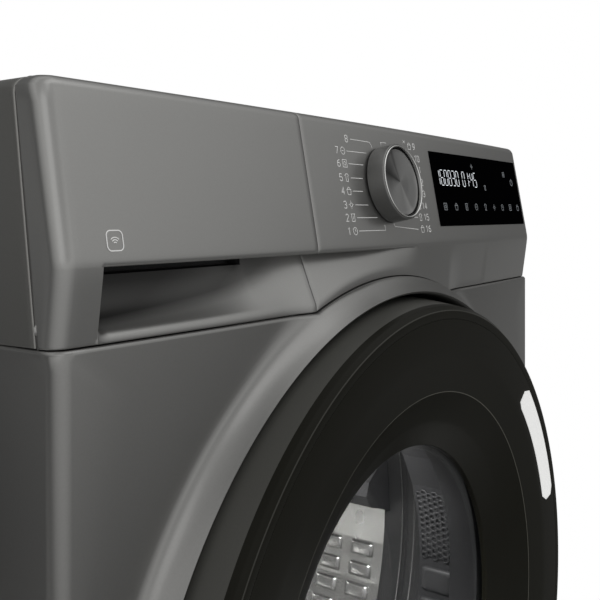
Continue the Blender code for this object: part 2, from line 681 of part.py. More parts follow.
def build_water_system():
    tank = box("water_tank", "white_plastic", (-0.2858, -0.1036), (0.0325, 0.3720), (0.7472, 0.8348),
               bevel=0.004)
    combine(tank, cutter_box((-0.2836, -0.1058), (0.0347, 0.3698), (0.7494, 0.8326)))
    combine(tank, cutter_rod(0.0130, (-0.1947, depth(0.3400), 0.80), (0.0, 0.06), axis="Z", steps=16))
    turned("tank_cap", "grey_plastic", [
        (0.0060, 0.0012), (0.0165, 0.0012), (0.0165, -0.0005), (0.0120, -0.0005),
        (0.0120, -0.0100), (0.0060, -0.0100)], (-0.1947, depth(0.3400), 0.8356), axis="Z", steps=16)
    tray = box("drawer_housing", "grey_plastic", (-0.2885, -0.1012), (0.0360, 0.4200),
               (0.7442, 0.8300))
    combine(tray, cutter_box((-0.2865, -0.1032), (0.0200, 0.4180), (0.7462, 0.8600)))
    box("condensate_pump", "black_plastic", (-0.0600, -0.0100), (0.4000, 0.4500), (0.0250, 0.0900),
        bevel=0.004)
    route = [(-0.035, 0.4512, 0.0600), (-0.035, 0.4560, 0.0600), (-0.035, 0.4660, 0.0600),
             (-0.064, 0.4870, 0.0560), (-0.120, 0.5020, 0.0560), (-0.200, 0.5080, 0.0620),
             (-0.258, 0.5080, 0.0950), (-0.270, 0.5080, 0.2000), (-0.270, 0.5080, 0.4000),
             (-0.270, 0.5080, 0.6000), (-0.268, 0.5060, 0.7200), (-0.258, 0.4980, 0.7800),
             (-0.222, 0.4740, 0.8020), (-0.195, 0.4450, 0.8050), (-0.195, 0.4300, 0.8050),
             (-0.195, 0.4213, 0.8050)]
    points = smooth_route([Vector((x, depth(d), z)) for x, d, z in route], 2)
    curve = bpy.data.curves.new("drain_hose", "CURVE")
    curve.dimensions = "3D"
    curve.bevel_depth = 0.0060
    curve.bevel_resolution = 1
    curve.use_fill_caps = True
    spline = curve.splines.new("POLY")
    spline.points.add(len(points) - 1)
    for slot, p in zip(spline.points, points):
        slot.co = (p.x, p.y, p.z, 1.0)
    hose = bpy.data.objects.new("drain_hose", curve)
    bpy.context.collection.objects.link(hose)
    curve.materials.append(material("rubber", "drain_hose"))


def smooth_route(points, per_span):
    """Catmull-Rom curve through the given points."""
    out = []
    ends = [points[0] * 2.0 - points[1]] + points + [points[-1] * 2.0 - points[-2]]
    for i in range(1, len(ends) - 2):
        p0, p1, p2, p3 = ends[i - 1:i + 3]
        for k in range(per_span):
            t = k / per_span
            out.append(0.5 * ((2.0 * p1) + (p2 - p0) * t + (2.0 * p0 - 5.0 * p1 + 4.0 * p2 - p3) * t ** 2
                              + (3.0 * p1 - p0 - 3.0 * p2 + p3) * t ** 3))
    out.append(points[-1])
    return out


# ------------------------------------------------------------------------ drum

def build_drum():
    centre = (0.0, FRONT_Y, AXIS_Z)
    turned("drum_shell", "stainless", [
        (0.2060, 0.0500), (0.2640, 0.0500), (DRUM_R, 0.0660), (DRUM_R, 0.4320),
        (DRUM_R - DRUM_T, 0.4320), (DRUM_R - DRUM_T, 0.0668), (0.2632, 0.0515), (0.2060, 0.0515)],
        centre, steps=40)
    rear = turned("drum_rear_wall", "stainless", [
        (0.0, 0.4140), (0.0550, 0.4140), (0.0750, 0.4290), (0.2780, 0.4290), (0.2780, 0.4310),
        (0.0740, 0.4310), (0.0540, 0.4160), (0.0, 0.4160)],
        centre, steps=40)
    ports = []
    for i in range(6):
        a = math.radians(60.0 * i + 30.0)
        spot = (0.170 * math.cos(a), FRONT_Y, AXIS_Z + 0.170 * math.sin(a))
        ports.append(cutter_rod(0.0300, spot, (0.40, 0.45), steps=8))
    bpy.context.view_layer.update()
    combine(rear, merged(ports))
    base_r = DRUM_R - DRUM_T - 0.0040
    section = [(-0.034, base_r), (-0.026, base_r - 0.014), (-0.014, base_r - 0.040),
               (0.0, base_r - 0.047), (0.014, base_r - 0.040), (0.026, base_r - 0.014),
               (0.034, base_r)]
    for i, name in enumerate(("drum_lifter_a", "drum_lifter_b", "drum_lifter_c")):
        a = math.radians(6.0 + 120.0 * i)
        outline = []
        for t, r in section:
            x = r * math.cos(a) - t * math.sin(a)
            z = r * math.sin(a) + t * math.cos(a)
            outline.append((x, AXIS_Z + z))
        prism(name, "grey_plastic", outline, (depth(0.1500), depth(0.4100)), smooth=True)
    turned("drum_shaft", "zinc_sheet", [
        (0.0, 0.4165), (0.0450, 0.4165), (0.0450, 0.4205), (0.0120, 0.4215), (0.0120, 0.4900),
        (0.0, 0.4900)], centre, steps=16)
    turned("rear_bearing", "bright_metal", [
        (0.0125, 0.4520), (0.0235, 0.4520), (0.0235, 0.4700), (0.0125, 0.4700)], centre, steps=16)
    plate = box("rear_bulkhead", "zinc_sheet", (-0.2850, 0.2850), (0.4600, 0.4620), (0.1100, 0.7150))
    combine(plate, cutter_rod(0.0240, centre, (0.44, 0.48), steps=16))
    for x in (-0.130, 0.130):
        combine(plate, cutter_box((x - 0.060, x + 0.060), (0.44, 0.48), (0.250, 0.330)))
    turned("drum_front_felt", "felt", [
        (0.1935, 0.0450), (0.2045, 0.0450), (0.2045, 0.0600), (0.1935, 0.0600)], centre, steps=28)
    for side, name in ((-1.0, "support_roller_left"), (1.0, "support_roller_right")):
        turned(name, "rubber", [
            (0.0043, -0.0060), (ROLLER_R, -0.0060), (ROLLER_R, 0.0060), (0.0043, 0.0060)],
            roller_spot(side), steps=16)


def roller_spot(side):
    reach = DRUM_R + ROLLER_R + 0.0006
    return (side * reach * math.cos(ROLLER_ANGLE), depth(0.0810),
            AXIS_Z - reach * math.sin(ROLLER_ANGLE))


def build_front_bulkhead():
    """Moulded wall behind the steel front: drum throat, filter slot, roller axles."""
    x_half, z_lo, z_hi = 0.2880, 0.1150, 0.7140
    angles = opening_angles(x_half, z_lo, z_hi, 30)
    outer, inner, faces = [], [], []
    rows = [(0.1760, 0.0600), (0.1760, 0.0175), (0.1790, 0.0140), (None, 0.0140)]
    for r_row, d in rows:
        for a in angles:
            r = outline_radius(a, x_half, z_lo, z_hi, 0.0) if r_row is None else r_row
            outer.append((r * math.cos(a), depth(d), AXIS_Z + r * math.sin(a)))
            r_in = r + SHELL if r_row is not None else r
            d_in = d if r_row == 0.1760 and d > 0.05 else 0.0140 + SHELL
            if r_row == 0.1760 and d < 0.05:
                d_in = d + 0.0015
            inner.append((r_in * math.cos(a), depth(d_in), AXIS_Z + r_in * math.sin(a)))
    count = len(angles)
    for k in range(len(rows) - 1):
        for i in range(count):
            j = (i + 1) % count
            faces.append((k * count + i, k * count + j, (k + 1) * count + j, (k + 1) * count + i))
    obj = shell("front_bulkhead", "grey_plastic", outer, inner, faces)
    for side in (-1.0, 1.0):
        x, _, z = roller_spot(side)
        combine(obj, cutter_rod(0.0040, (x, FRONT_Y, z), (0.0150, 0.0900), steps=12), "UNION")
    combine(obj, cutter_box((-0.1030, 0.1030), (0.0190, 0.0440), (0.2500, 0.3100)))
    combine(obj, cutter_box((-0.2370, -0.2180), (0.0, 0.0300), (AXIS_Z - 0.0110, AXIS_Z + 0.0110)))
    return obj


def build_filter():
    obj = box("lint_filter", "white_plastic", (-0.1000, 0.1000), (0.0210, 0.0420), (0.1900, 0.2740))
    combine(obj, cutter_box((-0.0980, 0.0980), (0.0230, 0.0400), (0.1920, 0.2900)))


# ---------------------------------------------------------------- drive, base

def belt_path(offset):
    """Loop round drum and motor pulley at a given distance from both."""
    cx, cz = 0.0, AXIS_Z
    mx, mz = MOTOR
    r1, r2 = DRUM_R + offset, PULLEY_R + offset
    gap = math.hypot(mx - cx, mz - cz)
    base = math.atan2(mz - cz, mx - cx)
    spread = math.acos((r1 - r2) / gap)
    path = []
    steps = 34
    start, end = base + spread, base - spread + 2.0 * math.pi
    for i in range(steps + 1):
        a = start + (end - start) * i / steps
        path.append((cx + r1 * math.cos(a), cz + r1 * math.sin(a)))
    for i in range(7):
        a = base - spread + 2.0 * spread * i / 6
        path.append((mx + r2 * math.cos(a), mz + r2 * math.sin(a)))
    return path


def build_belt():
    rings = []
    for offset, d in ((0.0010, BELT_D[0]), (0.0030, BELT_D[0]), (0.0030, BELT_D[1]),
                      (0.0010, BELT_D[1])):
        rings.append([(x, depth(d), z) for x, z in belt_path(offset)])
    bm = bmesh.new()
    loops = [[bm.verts.new(p) for p in ring] for ring in rings]
    count = len(loops[0])
    for k in range(4):
        one, two = loops[k], loops[(k + 1) % 4]
        for i in range(count):
            j = (i + 1) % count
            bm.faces.new((one[i], one[j], two[j], two[i]))
    to_object(bm, "drive_belt", "rubber")


def idler_centre():
    """Idler roller resting on the outside of the right-hand belt run."""
    path = belt_path(0.0030)
    top, low = Vector(path[0]), Vector(path[-1])
    run = (top - low).normalized()
    outward = Vector((run.y, -run.x))
    spot = low + run * 0.042 + outward * (IDLER_R + 0.0004)
    return spot.x, spot.y


def build_drive():
    mx, mz = MOTOR
    spot = (mx, FRONT_Y, mz)
    motor = turned("motor", "aluminium", [
        (0.0068, 0.2300), (0.0300, 0.2300), (0.0480, 0.2380), (0.0480, 0.3420), (0.0300, 0.3500),
        (0.0068, 0.3500)], spot, steps=18)
    combine(motor, cutter_box((mx - 0.040, mx + 0.040), (0.2500, 0.3300), (0.0230, 0.0620)), "UNION")
    combine(motor, cutter_rod(0.0068, spot, (0.20, 0.40), steps=12))
    turned("motor_shaft", "bright_metal", [
        (0.0, 0.2050), (0.0140, 0.2050), (0.0140, 0.2085), (PULLEY_R, 0.2090), (PULLEY_R, 0.2210),
        (0.0140, 0.2215), (0.0140, 0.2245), (0.0060, 0.2250), (0.0060, 0.4080), (0.0, 0.4080)],
        spot, steps=14)
    rotor = turned("fan_impeller", "black_plastic", [
        (0.0063, 0.3780), (0.0200, 0.3780), (0.0200, 0.4010), (0.0640, 0.4010), (0.0640, 0.4035),
        (0.0063, 0.4035)], spot, steps=18)
    for i in range(6):
        a = 2.0 * math.pi * i / 6
        blade = bmesh.new()
        add_box(blade, (0.0185, 0.0, -0.0012), (0.0620, 0.0220, 0.0012))
        turn = Matrix.Translation((mx, depth(0.3800), mz)) @ Matrix.Rotation(a, 4, "Y")
        bmesh.ops.transform(blade, matrix=turn, verts=blade.verts)
        combine(rotor, to_object(blade, "cutter", "rubber"), "UNION")
    housing = turned("fan_housing", "grey_plastic", [
        (0.0380, 0.3680), (0.0740, 0.3680), (0.0740, 0.4180), (0.0090, 0.4180), (0.0090, 0.4155),
        (0.0715, 0.4155), (0.0715, 0.3705), (0.0380, 0.3705)], spot, steps=20)
    combine(housing, cutter_box((mx + 0.0300, mx + 0.1000), (0.3720, 0.4140), (mz - 0.010, mz + 0.050)))
    ix, iz = idler_centre()
    px, pz = IDLER_PIVOT
    arm = prism("idler_arm", "zinc_sheet", capsule((px, pz), (ix, iz), 0.0090), (depth(0.2250),
                depth(0.2280)), origin=(px, depth(0.2250), pz))
    combine(arm, cutter_rod(0.0038, (ix, FRONT_Y, iz), (0.2075, 0.2260), steps=12), "UNION")
    turned("idler_pulley", "black_plastic", [
        (0.0042, 0.2085), (IDLER_R, 0.2085), (IDLER_R, 0.2215), (0.0042, 0.2215)],
        (ix, FRONT_Y, iz), steps=16)
    build_belt()


def capsule(one, two, r):
    """Outline with round ends about two points."""
    base = math.atan2(two[1] - one[1], two[0] - one[0])
    outline = []
    for centre, start in ((two, base - math.pi / 2), (one, base + math.pi / 2)):
        for i in range(7):
            a = start + math.pi * i / 6
            outline.append((centre[0] + r * math.cos(a), centre[1] + r * math.sin(a)))
    return outline


def build_heat_pump():
    duct = box("heat_pump_duct", "grey_plastic", (-0.2890, -0.1550), (0.0950, 0.3300),
               (0.0260, 0.2150))
    combine(duct, cutter_box((-0.2865, -0.1575), (0.0800, 0.3500), (0.0285, 0.2125)))
    box("evaporator", "aluminium", (-0.2840, -0.1600), (0.1050, 0.1900), (0.0300, 0.2110))
    box("condenser", "aluminium", (-0.2840, -0.1600), (0.2050, 0.3200), (0.0300, 0.2110))
    turned("compressor", "black_plastic", [
        (0.0, 0.0240), (0.0300, 0.0240), (0.0520, 0.0360), (0.0520, 0.1850), (0.0420, 0.2040),
        (0.0, 0.2100)], (0.2220, depth(0.1500), 0.0), axis="Z", steps=16)


def build_base():
    tray = box("base_tray", "black_plastic", (-0.2942, 0.2942), (0.0060, 0.5340), (0.0180, 0.0600))
    combine(tray, cutter_box((-0.2912, 0.2912), (0.0090, 0.5310), (0.0215, 0.0700)))
    for x in (-0.2550, 0.2550):
        for d in (0.0500, 0.5000):
            combine(tray, cutter_rod(0.0056, (x, depth(d), 0.0), (0.0, 0.04), axis="Z", steps=12))
    names = ("foot_front_left", "foot_front_right", "foot_rear_left", "foot_rear_right")
    spots = ((-0.2550, 0.0500), (0.2550, 0.0500), (-0.2550, 0.5000), (0.2550, 0.5000))
    for name, (x, d) in zip(names, spots):
        turned(name, "rubber", [
            (0.0, 0.0), (0.0200, 0.0), (0.0200, 0.0080), (0.0110, 0.0120), (0.0050, 0.0120),
            (0.0050, 0.0420), (0.0, 0.0420)], (x, depth(d), 0.0), axis="Z", steps=12)
    turned("mains_inlet", "black_plastic", [
        (0.0, 0.5200), (0.0140, 0.5200), (0.0140, 0.5362), (0.0095, 0.5362), (0.0095, REAR_DEPTH),
        (0.0050, REAR_DEPTH), (0.0050, 0.5240), (0.0, 0.5240)],
        (0.2150, FRONT_Y, 0.0850), steps=12)


def main():
    clear_scene()
    build_front_panel()
    build_drawer_front()
    build_control_fascia()
    build_window()
    build_side_panel("left_side_panel", -1.0)
    build_side_panel("right_side_panel", 1.0)
    build_top_pan()
    build_rear_panel()
    build_kick_panel()
    build_service_flap()
    build_door()
    build_knob()
    build_electronics()
    build_water_system()
    build_drum()
    build_front_bulkhead()
    build_filter()
    build_drive()
    build_heat_pump()
    build_base()


main()
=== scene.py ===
"""Looks of a heat-pump clothes dryer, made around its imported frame.

Metres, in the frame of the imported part: +X right, -Y out of the front, +Z up.
Front shapes are placed by their depth behind the flat of the steel front.
"""
import math

import bmesh
import bpy
from mathutils import Matrix, Vector


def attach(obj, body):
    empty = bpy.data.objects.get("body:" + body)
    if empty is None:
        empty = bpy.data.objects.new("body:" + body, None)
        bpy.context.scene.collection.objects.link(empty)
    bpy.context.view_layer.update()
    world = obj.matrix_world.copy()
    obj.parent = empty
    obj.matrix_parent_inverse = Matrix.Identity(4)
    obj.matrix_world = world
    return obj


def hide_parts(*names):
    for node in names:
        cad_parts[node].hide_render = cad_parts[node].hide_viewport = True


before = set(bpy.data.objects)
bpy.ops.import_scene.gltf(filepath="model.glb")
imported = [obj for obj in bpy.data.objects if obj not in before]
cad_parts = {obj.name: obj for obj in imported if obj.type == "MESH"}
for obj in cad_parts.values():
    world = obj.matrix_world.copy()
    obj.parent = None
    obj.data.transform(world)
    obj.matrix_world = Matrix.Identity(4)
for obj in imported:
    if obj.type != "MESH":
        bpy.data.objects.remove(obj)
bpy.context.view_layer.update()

HALF_W = 0.298
HEIGHT = 0.850
FRONT_Y = -0.246
REAR_DEPTH = 0.5392
BOW = 0.008
GAP = 0.0006
TANK_TOP = 0.8348
AXIS_Z = 0.4563
OPEN_R = 0.2670
COLLAR_TOP_R = 0.2690
COLLAR_R = 0.2970
COLLAR_LOW_R = 0.2850
COLLAR_H = 0.0175
ARCH_R = 0.2800
SEAM_Z = 0.7183
CREASE_Z = 0.7585
CREASE_D = -0.0026
LEAN = 0.187
TILT = math.atan(LEAN)
CORNER_R = 0.0085
DRAWER_X = -0.0974
KNOB_X, KNOB_UP, KNOB_H = 0.0030, 0.0462, 0.0155
WINDOW = (0.0832, 0.2860, 0.0140, 0.0775)
SHEET = 0.0008
SQUARE = ((-1.0, -1.0), (1.0, -1.0), (1.0, 1.0), (-1.0, 1.0))


# ------------------------------------------------------------ small geometry

def depth(d):
    return FRONT_Y + d


def bow(x):
    return -BOW * (1.0 - min(1.0, (x / HALF_W) ** 2))


def collar(r, side=0.0):
    """Forward lift near the door opening; side is |cos| of the angle from the door axis."""
    off_top = math.degrees(math.asin(min(1.0, side)))
    reach = mix(COLLAR_R, COLLAR_LOW_R, smoothstep((off_top - 20.0) / 18.0))
    t = min(max((reach - r) / (reach - COLLAR_TOP_R), 0.0), 1.0)
    return -COLLAR_H * t ** 3


def side_of(x, z):
    return abs(x) / max(math.hypot(x, z - AXIS_Z), 1e-6)


def seam_depth(z):
    return 0.0153 + 0.133 * (z - 0.7176)


def mix(a, b, t):
    return a + (b - a) * t


def smoothstep(t):
    t = min(max(t, 0.0), 1.0)
    return t * t * (3.0 - 2.0 * t)


def table(pairs, x):
    """Smooth curve through (x, value) pairs."""
    if x <= pairs[0][0]:
        return pairs[0][1]
    if x >= pairs[-1][0]:
        return pairs[-1][1]
    i = max(k for k in range(len(pairs) - 1) if pairs[k][0] <= x)
    x1, y1 = pairs[i]
    x2, y2 = pairs[i + 1]
    x0, y0 = pairs[i - 1] if i else (2 * x1 - x2, 2 * y1 - y2)
    x3, y3 = pairs[i + 2] if i + 2 < len(pairs) else (2 * x2 - x1, 2 * y2 - y1)
    m1, m2 = (y2 - y0) / (x2 - x0), (y3 - y1) / (x3 - x1)
    w, t = x2 - x1, (x - x1) / (x2 - x1)
    return ((2 * t ** 3 - 3 * t ** 2 + 1) * y1 + (t ** 3 - 2 * t ** 2 + t) * w * m1
            + (3 * t ** 2 - 2 * t ** 3) * y2 + (t ** 3 - t ** 2) * w * m2)


def rounded(points, radius, closed=True, steps=4):
    """Outline with rounded corners; radius is one number or one per point."""
    out, count = [], len(points)
    for i, p in enumerate(points):
        r = radius[i] if isinstance(radius, (list, tuple)) else radius
        if r <= 0.0 or (not closed and i in (0, count - 1)):
            out.append(tuple(p))
            continue
        here = Vector(p)
        a, b = Vector(points[i - 1]) - here, Vector(points[(i + 1) % count]) - here
        la, lb = a.length, b.length
        if min(la, lb) < 1e-9:
            out.append(tuple(p))
            continue
        a, b = a / la, b / lb
        half = 0.5 * math.acos(max(-1.0, min(1.0, a.dot(b))))
        if half < 1e-3 or half > math.pi / 2 - 1e-3:
            out.append(tuple(p))
            continue
        t = min(r / math.tan(half), 0.48 * la, 0.48 * lb)
        r = t * math.tan(half)
        centre = here + (a + b).normalized() * (r / math.sin(half))
        start, end = here + a * t - centre, here + b * t - centre
        for k in range(steps + 1):
            turn = start.lerp(end, k / steps)
            spot = centre + turn.normalized() * r
            out.append(tuple(spot))
    return out


def finish_mesh(name, bm, mat, body, sharp=40.0, thick=0.0, replaces=(), slot=None, bevel=0.0,
                recalc=True, place=None):
    """Turns a bmesh into a named piece on its body, with its look; the slot argument is not used."""
    bmesh.ops.remove_doubles(bm, verts=bm.verts, dist=2e-6)
    bmesh.ops.dissolve_degenerate(bm, edges=bm.edges, dist=1e-6)
    if recalc:
        bmesh.ops.recalc_face_normals(bm, faces=bm.faces)
    mesh = bpy.data.meshes.new(name)
    bm.to_mesh(mesh)
    bm.free()
    mesh.materials.append(mat)
    mesh.shade_smooth()
    mesh.set_sharp_from_angle(angle=math.radians(sharp))
    obj = bpy.data.objects.new(name, mesh)
    bpy.context.scene.collection.objects.link(obj)
    if thick:
        mod = obj.modifiers.new("wall", "SOLIDIFY")
        mod.thickness = thick
        mod.offset = -1.0
    if bevel:
        mod = obj.modifiers.new("edges", "BEVEL")
        mod.width = bevel
        mod.segments = 3
        mod.limit_method = "ANGLE"
        mod.angle_limit = math.radians(32.0)
        mod.harden_normals = True
    if place:
        obj.matrix_world = place
    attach(obj, body)
    if replaces:
        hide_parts(*replaces)
    return obj


def repaint(obj, mat, test):
    """Give the faces whose centre passes the test another material."""
    obj.data.materials.append(mat)
    index = len(obj.data.materials) - 1
    for poly in obj.data.polygons:
        if test(poly.center):
            poly.material_index = index


def bridge(bm, one, two, closed=True):
    """Faces between two rows of vertices; a row of one vertex is a pole."""
    count = max(len(one), len(two))
    for i in range(count if closed else count - 1):
        j = (i + 1) % count
        if len(one) == 1:
            bm.faces.new((one[0], two[i], two[j]))
        elif len(two) == 1:
            bm.faces.new((one[i], one[j], two[0]))
        else:
            bm.faces.new((one[i], one[j], two[j], two[i]))


def stack(bm, rows, closed=True):
    for one, two in zip(rows, rows[1:]):
        bridge(bm, one, two, closed)


def surface(name, grid, mat, body, out, wrap=False, **more):
    """Sheet through a grid of points, turned so that its front looks along out."""
    bm = bmesh.new()
    stack(bm, [[bm.verts.new(p) for p in row] for row in grid], wrap)
    total = Vector()
    for face in bm.faces:
        face.normal_update()
        total += face.normal * face.calc_area()
    if total.dot(Vector(out)) < 0.0:
        bmesh.ops.reverse_faces(bm, faces=bm.faces)
    return finish_mesh(name, bm, mat, body, recalc=False, thick=SHEET, **more)


def lathe_bm(profile, steps=128, closed=True):
    """Turns (radius, height) pairs about Z; a radius of 0 is a pole."""
    bm = bmesh.new()
    rings = []
    for r, h in profile:
        turns = [2.0 * math.pi * i / steps for i in range(steps if r > 1e-7 else 1)]
        rings.append([bm.verts.new((r * math.cos(a), r * math.sin(a), h)) for a in turns])
    stack(bm, rings + rings[:1] if closed else rings)
    return bm


DOOR_AXIS = Matrix.Translation((0.0, FRONT_Y, AXIS_Z)) @ Matrix.Rotation(math.radians(-90.0), 4, "X")


def lathe(name, profile, mat, body, steps=160, **more):
    """Ring or bowl about the door axis, from (radius, depth) pairs."""
    poles = profile[0][0] < 1e-7 and profile[-1][0] < 1e-7
    bm = lathe_bm(profile, steps, not poles)
    bmesh.ops.transform(bm, matrix=DOOR_AXIS, verts=bm.verts)
    return finish_mesh(name, bm, mat, body, **more)


def slab(bm, outline, low, high):
    """Prism of a 2-D outline between two heights."""
    one, two = [[bm.verts.new((x, y, h)) for x, y in outline] for h in (low, high)]
    bm.faces.new(list(reversed(one)))
    bm.faces.new(two)
    bridge(bm, one, two)


def face_point(x, up, out=0.0):
    """Point on the leaning face of the fascia."""
    return (x, depth(CREASE_D) + up * math.sin(TILT) - out * math.cos(TILT) + bow(x),
            CREASE_Z + up * math.cos(TILT) + out * math.sin(TILT))


def face_frame(x, up):
    right = Vector((1.0, 0.0, 0.0))
    slope = Vector((0.0, math.sin(TILT), math.cos(TILT)))
    turn = Matrix((right, slope, right.cross(slope))).transposed().to_4x4()
    turn.translation = Vector(face_point(x, up))
    return turn


# ------------------------------------------------------------------ materials

def nodes_of(name):
    mat = bpy.data.materials.new(name)
    mat.use_nodes = True
    tree = mat.node_tree
    return mat, tree, tree.nodes["Principled BSDF"]


def wire(tree, node, feeds, **values):
    """Sets sockets (with _ for a space) or settings of a node, then links its inputs."""
    for key, value in values.items():
        socket = key.replace("_", " ")
        if socket in node.inputs:
            node.inputs[socket].default_value = value
        else:
            setattr(node, key, value)
    for key, source in feeds.items():
        tree.links.new(source, node.inputs[key])


def add(tree, kind, feeds=None, **values):
    node = tree.nodes.new("ShaderNode" + kind)
    wire(tree, node, feeds or {}, **values)
    return node


def ramp(tree, source, stops):
    """Colour ramp through (position, colour) stops."""
    node = add(tree, "ValToRGB", {"Fac": source})
    marks = node.color_ramp.elements
    marks.remove(marks[1])
    for i, (spot, colour) in enumerate(stops):
        mark = marks.new(spot) if i else marks[0]
        mark.position = spot
        mark.color = (*colour, 1.0)
    return node.outputs["Color"]


def greys(stops, blue=0.99, green=1.0):
    return [(spot, (level, level * green, level * blue)) for spot, level in stops]


def finish(name, colour, rough, metal=0.0, vary=0.06, bump=0.03, bump_scale=1500.0,
           stretch=(1.0, 1.0, 1.0), **sockets):
    """Surface with broad tone drift, fine grain, uneven gloss and micro relief."""
    mat, tree, shader = nodes_of(name)
    spot = add(tree, "TexCoord").outputs["Object"]
    scaled = add(tree, "Mapping", {"Vector": spot}, Scale=stretch).outputs["Vector"]
    broad = add(tree, "TexNoise", {"Vector": spot}, Scale=6.0, Detail=3.0, Roughness=0.55)
    fine = add(tree, "TexNoise", {"Vector": scaled}, Scale=900.0, Detail=2.0, Roughness=0.6)
    both = add(tree, "Math", {0: broad.outputs["Fac"], 1: fine.outputs["Fac"]}, operation="ADD")
    tone = add(tree, "MapRange", {"Value": both.outputs[0]}, From_Min=0.6, From_Max=1.4)
    tones = ((0.0, [c * (1.0 - vary) for c in colour]),
             (1.0, [min(1.0, c * (1.0 + vary)) for c in colour]))
    gloss = add(tree, "MapRange", {"Value": broad.outputs["Fac"]}, To_Min=rough * 0.92,
                To_Max=min(1.0, rough * 1.08))
    feeds = {"Base Color": ramp(tree, tone.outputs["Result"], tones),
             "Roughness": gloss.outputs["Result"]}
    if bump:
        relief = add(tree, "TexNoise", {"Vector": scaled}, Scale=bump_scale, Detail=2.0, Roughness=0.5)
        height = {"Height": relief.outputs["Fac"]}
        feeds["Normal"] = add(tree, "Bump", height, Strength=bump, Distance=0.0004).outputs["Normal"]
    wire(tree, shader, feeds, Metallic=metal, **sockets)
    return mat


def plain_glow(name, colour, strength):
    mat, tree, shader = nodes_of(name)
    wire(tree, shader, {}, Base_Color=(*colour, 1.0), Roughness=0.4, Emission_Color=(*colour, 1.0),
         Emission_Strength=strength)
    return mat


STEEL = finish("steel_front_paint", (0.262, 0.260, 0.254), 0.31, 0.85, vary=0.04, bump=0.05)
FASCIA_TONE = (0.330, 0.328, 0.321)
FASCIA = finish("fascia_paint_satin", FASCIA_TONE, 0.31, 0.85, vary=0.03, bump=0.05)
SIDE = finish("side_paint_satin", (0.250, 0.248, 0.238), 0.38, 0.85, vary=0.04, bump=0.06)
KNOB_PAINT = finish("knob_barrel_satin", (0.205, 0.205, 0.201), 0.36, 0.85, vary=0.04, bump=0.05)
BRONZE = finish("bronze_black_satin", (0.0105, 0.0102, 0.0074), 0.34, 0.0, vary=0.12, bump=0.05,
                Specular_IOR_Level=0.075)
# Lighter copy of the bronze for the ring's side wall: painted light.
BRONZE_SIDE_PAINTED_LIGHT = finish("bronze_side_painted_light", (0.0660, 0.0655, 0.0595), 0.40, 0.0, vary=0.08, bump=0.05,
                     Specular_IOR_Level=0.30)
# Lighter bronze along the ring's front fold: painted highlight.
BRONZE_FOLD_HIGHLIGHT = finish("bronze_fold_painted_highlight", (0.0340, 0.0335, 0.0280), 0.35, 0.0, vary=0.05, bump=0.0,
                     Specular_IOR_Level=0.25)
# Brighter bronze along the dish edge: painted highlight.
BRONZE_EDGE_HIGHLIGHT = finish("bronze_edge_painted_highlight", (0.0900, 0.0880, 0.0720), 0.35, 0.0, vary=0.05, bump=0.0,
                     Specular_IOR_Level=0.40)
GLOSS = finish("display_glass_black", (0.0010, 0.0010, 0.0012), 0.10, 0.0, vary=0.1, bump=0.0,
               Specular_IOR_Level=0.0)
# Near-black band inside the drum front: painted dark reflection of the steel.
DRUM_BAND_PAINTED_REFLECTION = finish("drum_band_painted_reflection", (0.010, 0.010, 0.010), 0.45, 0.0, vary=0.15, bump=0.2)
PANEL = finish("throat_panel_grey", (0.034, 0.034, 0.035), 0.50, 0.0, vary=0.10, bump=0.25)
BLACK = finish("black_moulding", (0.022, 0.022, 0.023), 0.55, 0.0, vary=0.12, bump=0.35,
               bump_scale=1100.0)
GREY = finish("grey_moulding", (0.33, 0.34, 0.35), 0.55, 0.0, bump=0.3, bump_scale=1100.0)
WHITE = finish("white_moulding", (0.76, 0.76, 0.74), 0.45, 0.0, vary=0.03, bump=0.2)
RUBBER = finish("black_rubber", (0.018, 0.018, 0.018), 0.80, 0.0, vary=0.2, bump=0.5,
                bump_scale=700.0)
FELT = finish("grey_felt", (0.20, 0.19, 0.18), 0.95, 0.0, vary=0.3, bump=1.0, bump_scale=900.0)
BOARD = finish("board_resist", (0.02, 0.13, 0.06), 0.35, 0.0, vary=0.2, bump=0.2)
ALU = finish("bare_aluminium", (0.70, 0.71, 0.72), 0.38, 1.0, bump=0.15)
BRIGHT = finish("bright_turned_metal", (0.72, 0.72, 0.71), 0.22, 1.0, vary=0.03, bump=0.04)
# The label's emission is painted light: the film glows though it is no lamp.
LABEL_PAINTED_GLOW = finish("label_film", (0.97, 0.97, 0.96), 0.45, 0.0, vary=0.02, bump=0.05,
               Emission_Color=(1.0, 1.0, 1.0, 1.0), Emission_Strength=0.22)
STAINLESS = finish("stainless_drum", (0.60, 0.60, 0.59), 0.27, 1.0, vary=0.06, bump=0.10,
                   bump_scale=500.0, stretch=(1.0, 0.05, 1.0))
PRINT = finish("light_print", (0.90, 0.90, 0.89), 0.5, 0.0, vary=0.02, bump=0.0)
LIT = plain_glow("lit_segments", (0.78, 0.82, 0.86), 0.62)
DIM = plain_glow("lit_icons", (0.30, 0.32, 0.34), 0.16)


def zinc_material():
    """Galvanised sheet with its crystal pattern."""
    mat, tree, shader = nodes_of("galvanised_sheet")
    spot = add(tree, "TexCoord").outputs["Object"]
    cells = add(tree, "TexVoronoi", {"Vector": spot}, Scale=110.0)
    tone = ramp(tree, cells.outputs["Color"], ((0.0, (0.43, 0.44, 0.45)), (1.0, (0.62, 0.63, 0.64))))
    gloss = add(tree, "MapRange", {"Value": cells.outputs["Distance"]}, To_Min=0.36, To_Max=0.52)
    wire(tree, shader, {"Base Color": tone, "Roughness": gloss.outputs["Result"]}, Metallic=0.85)
    return mat


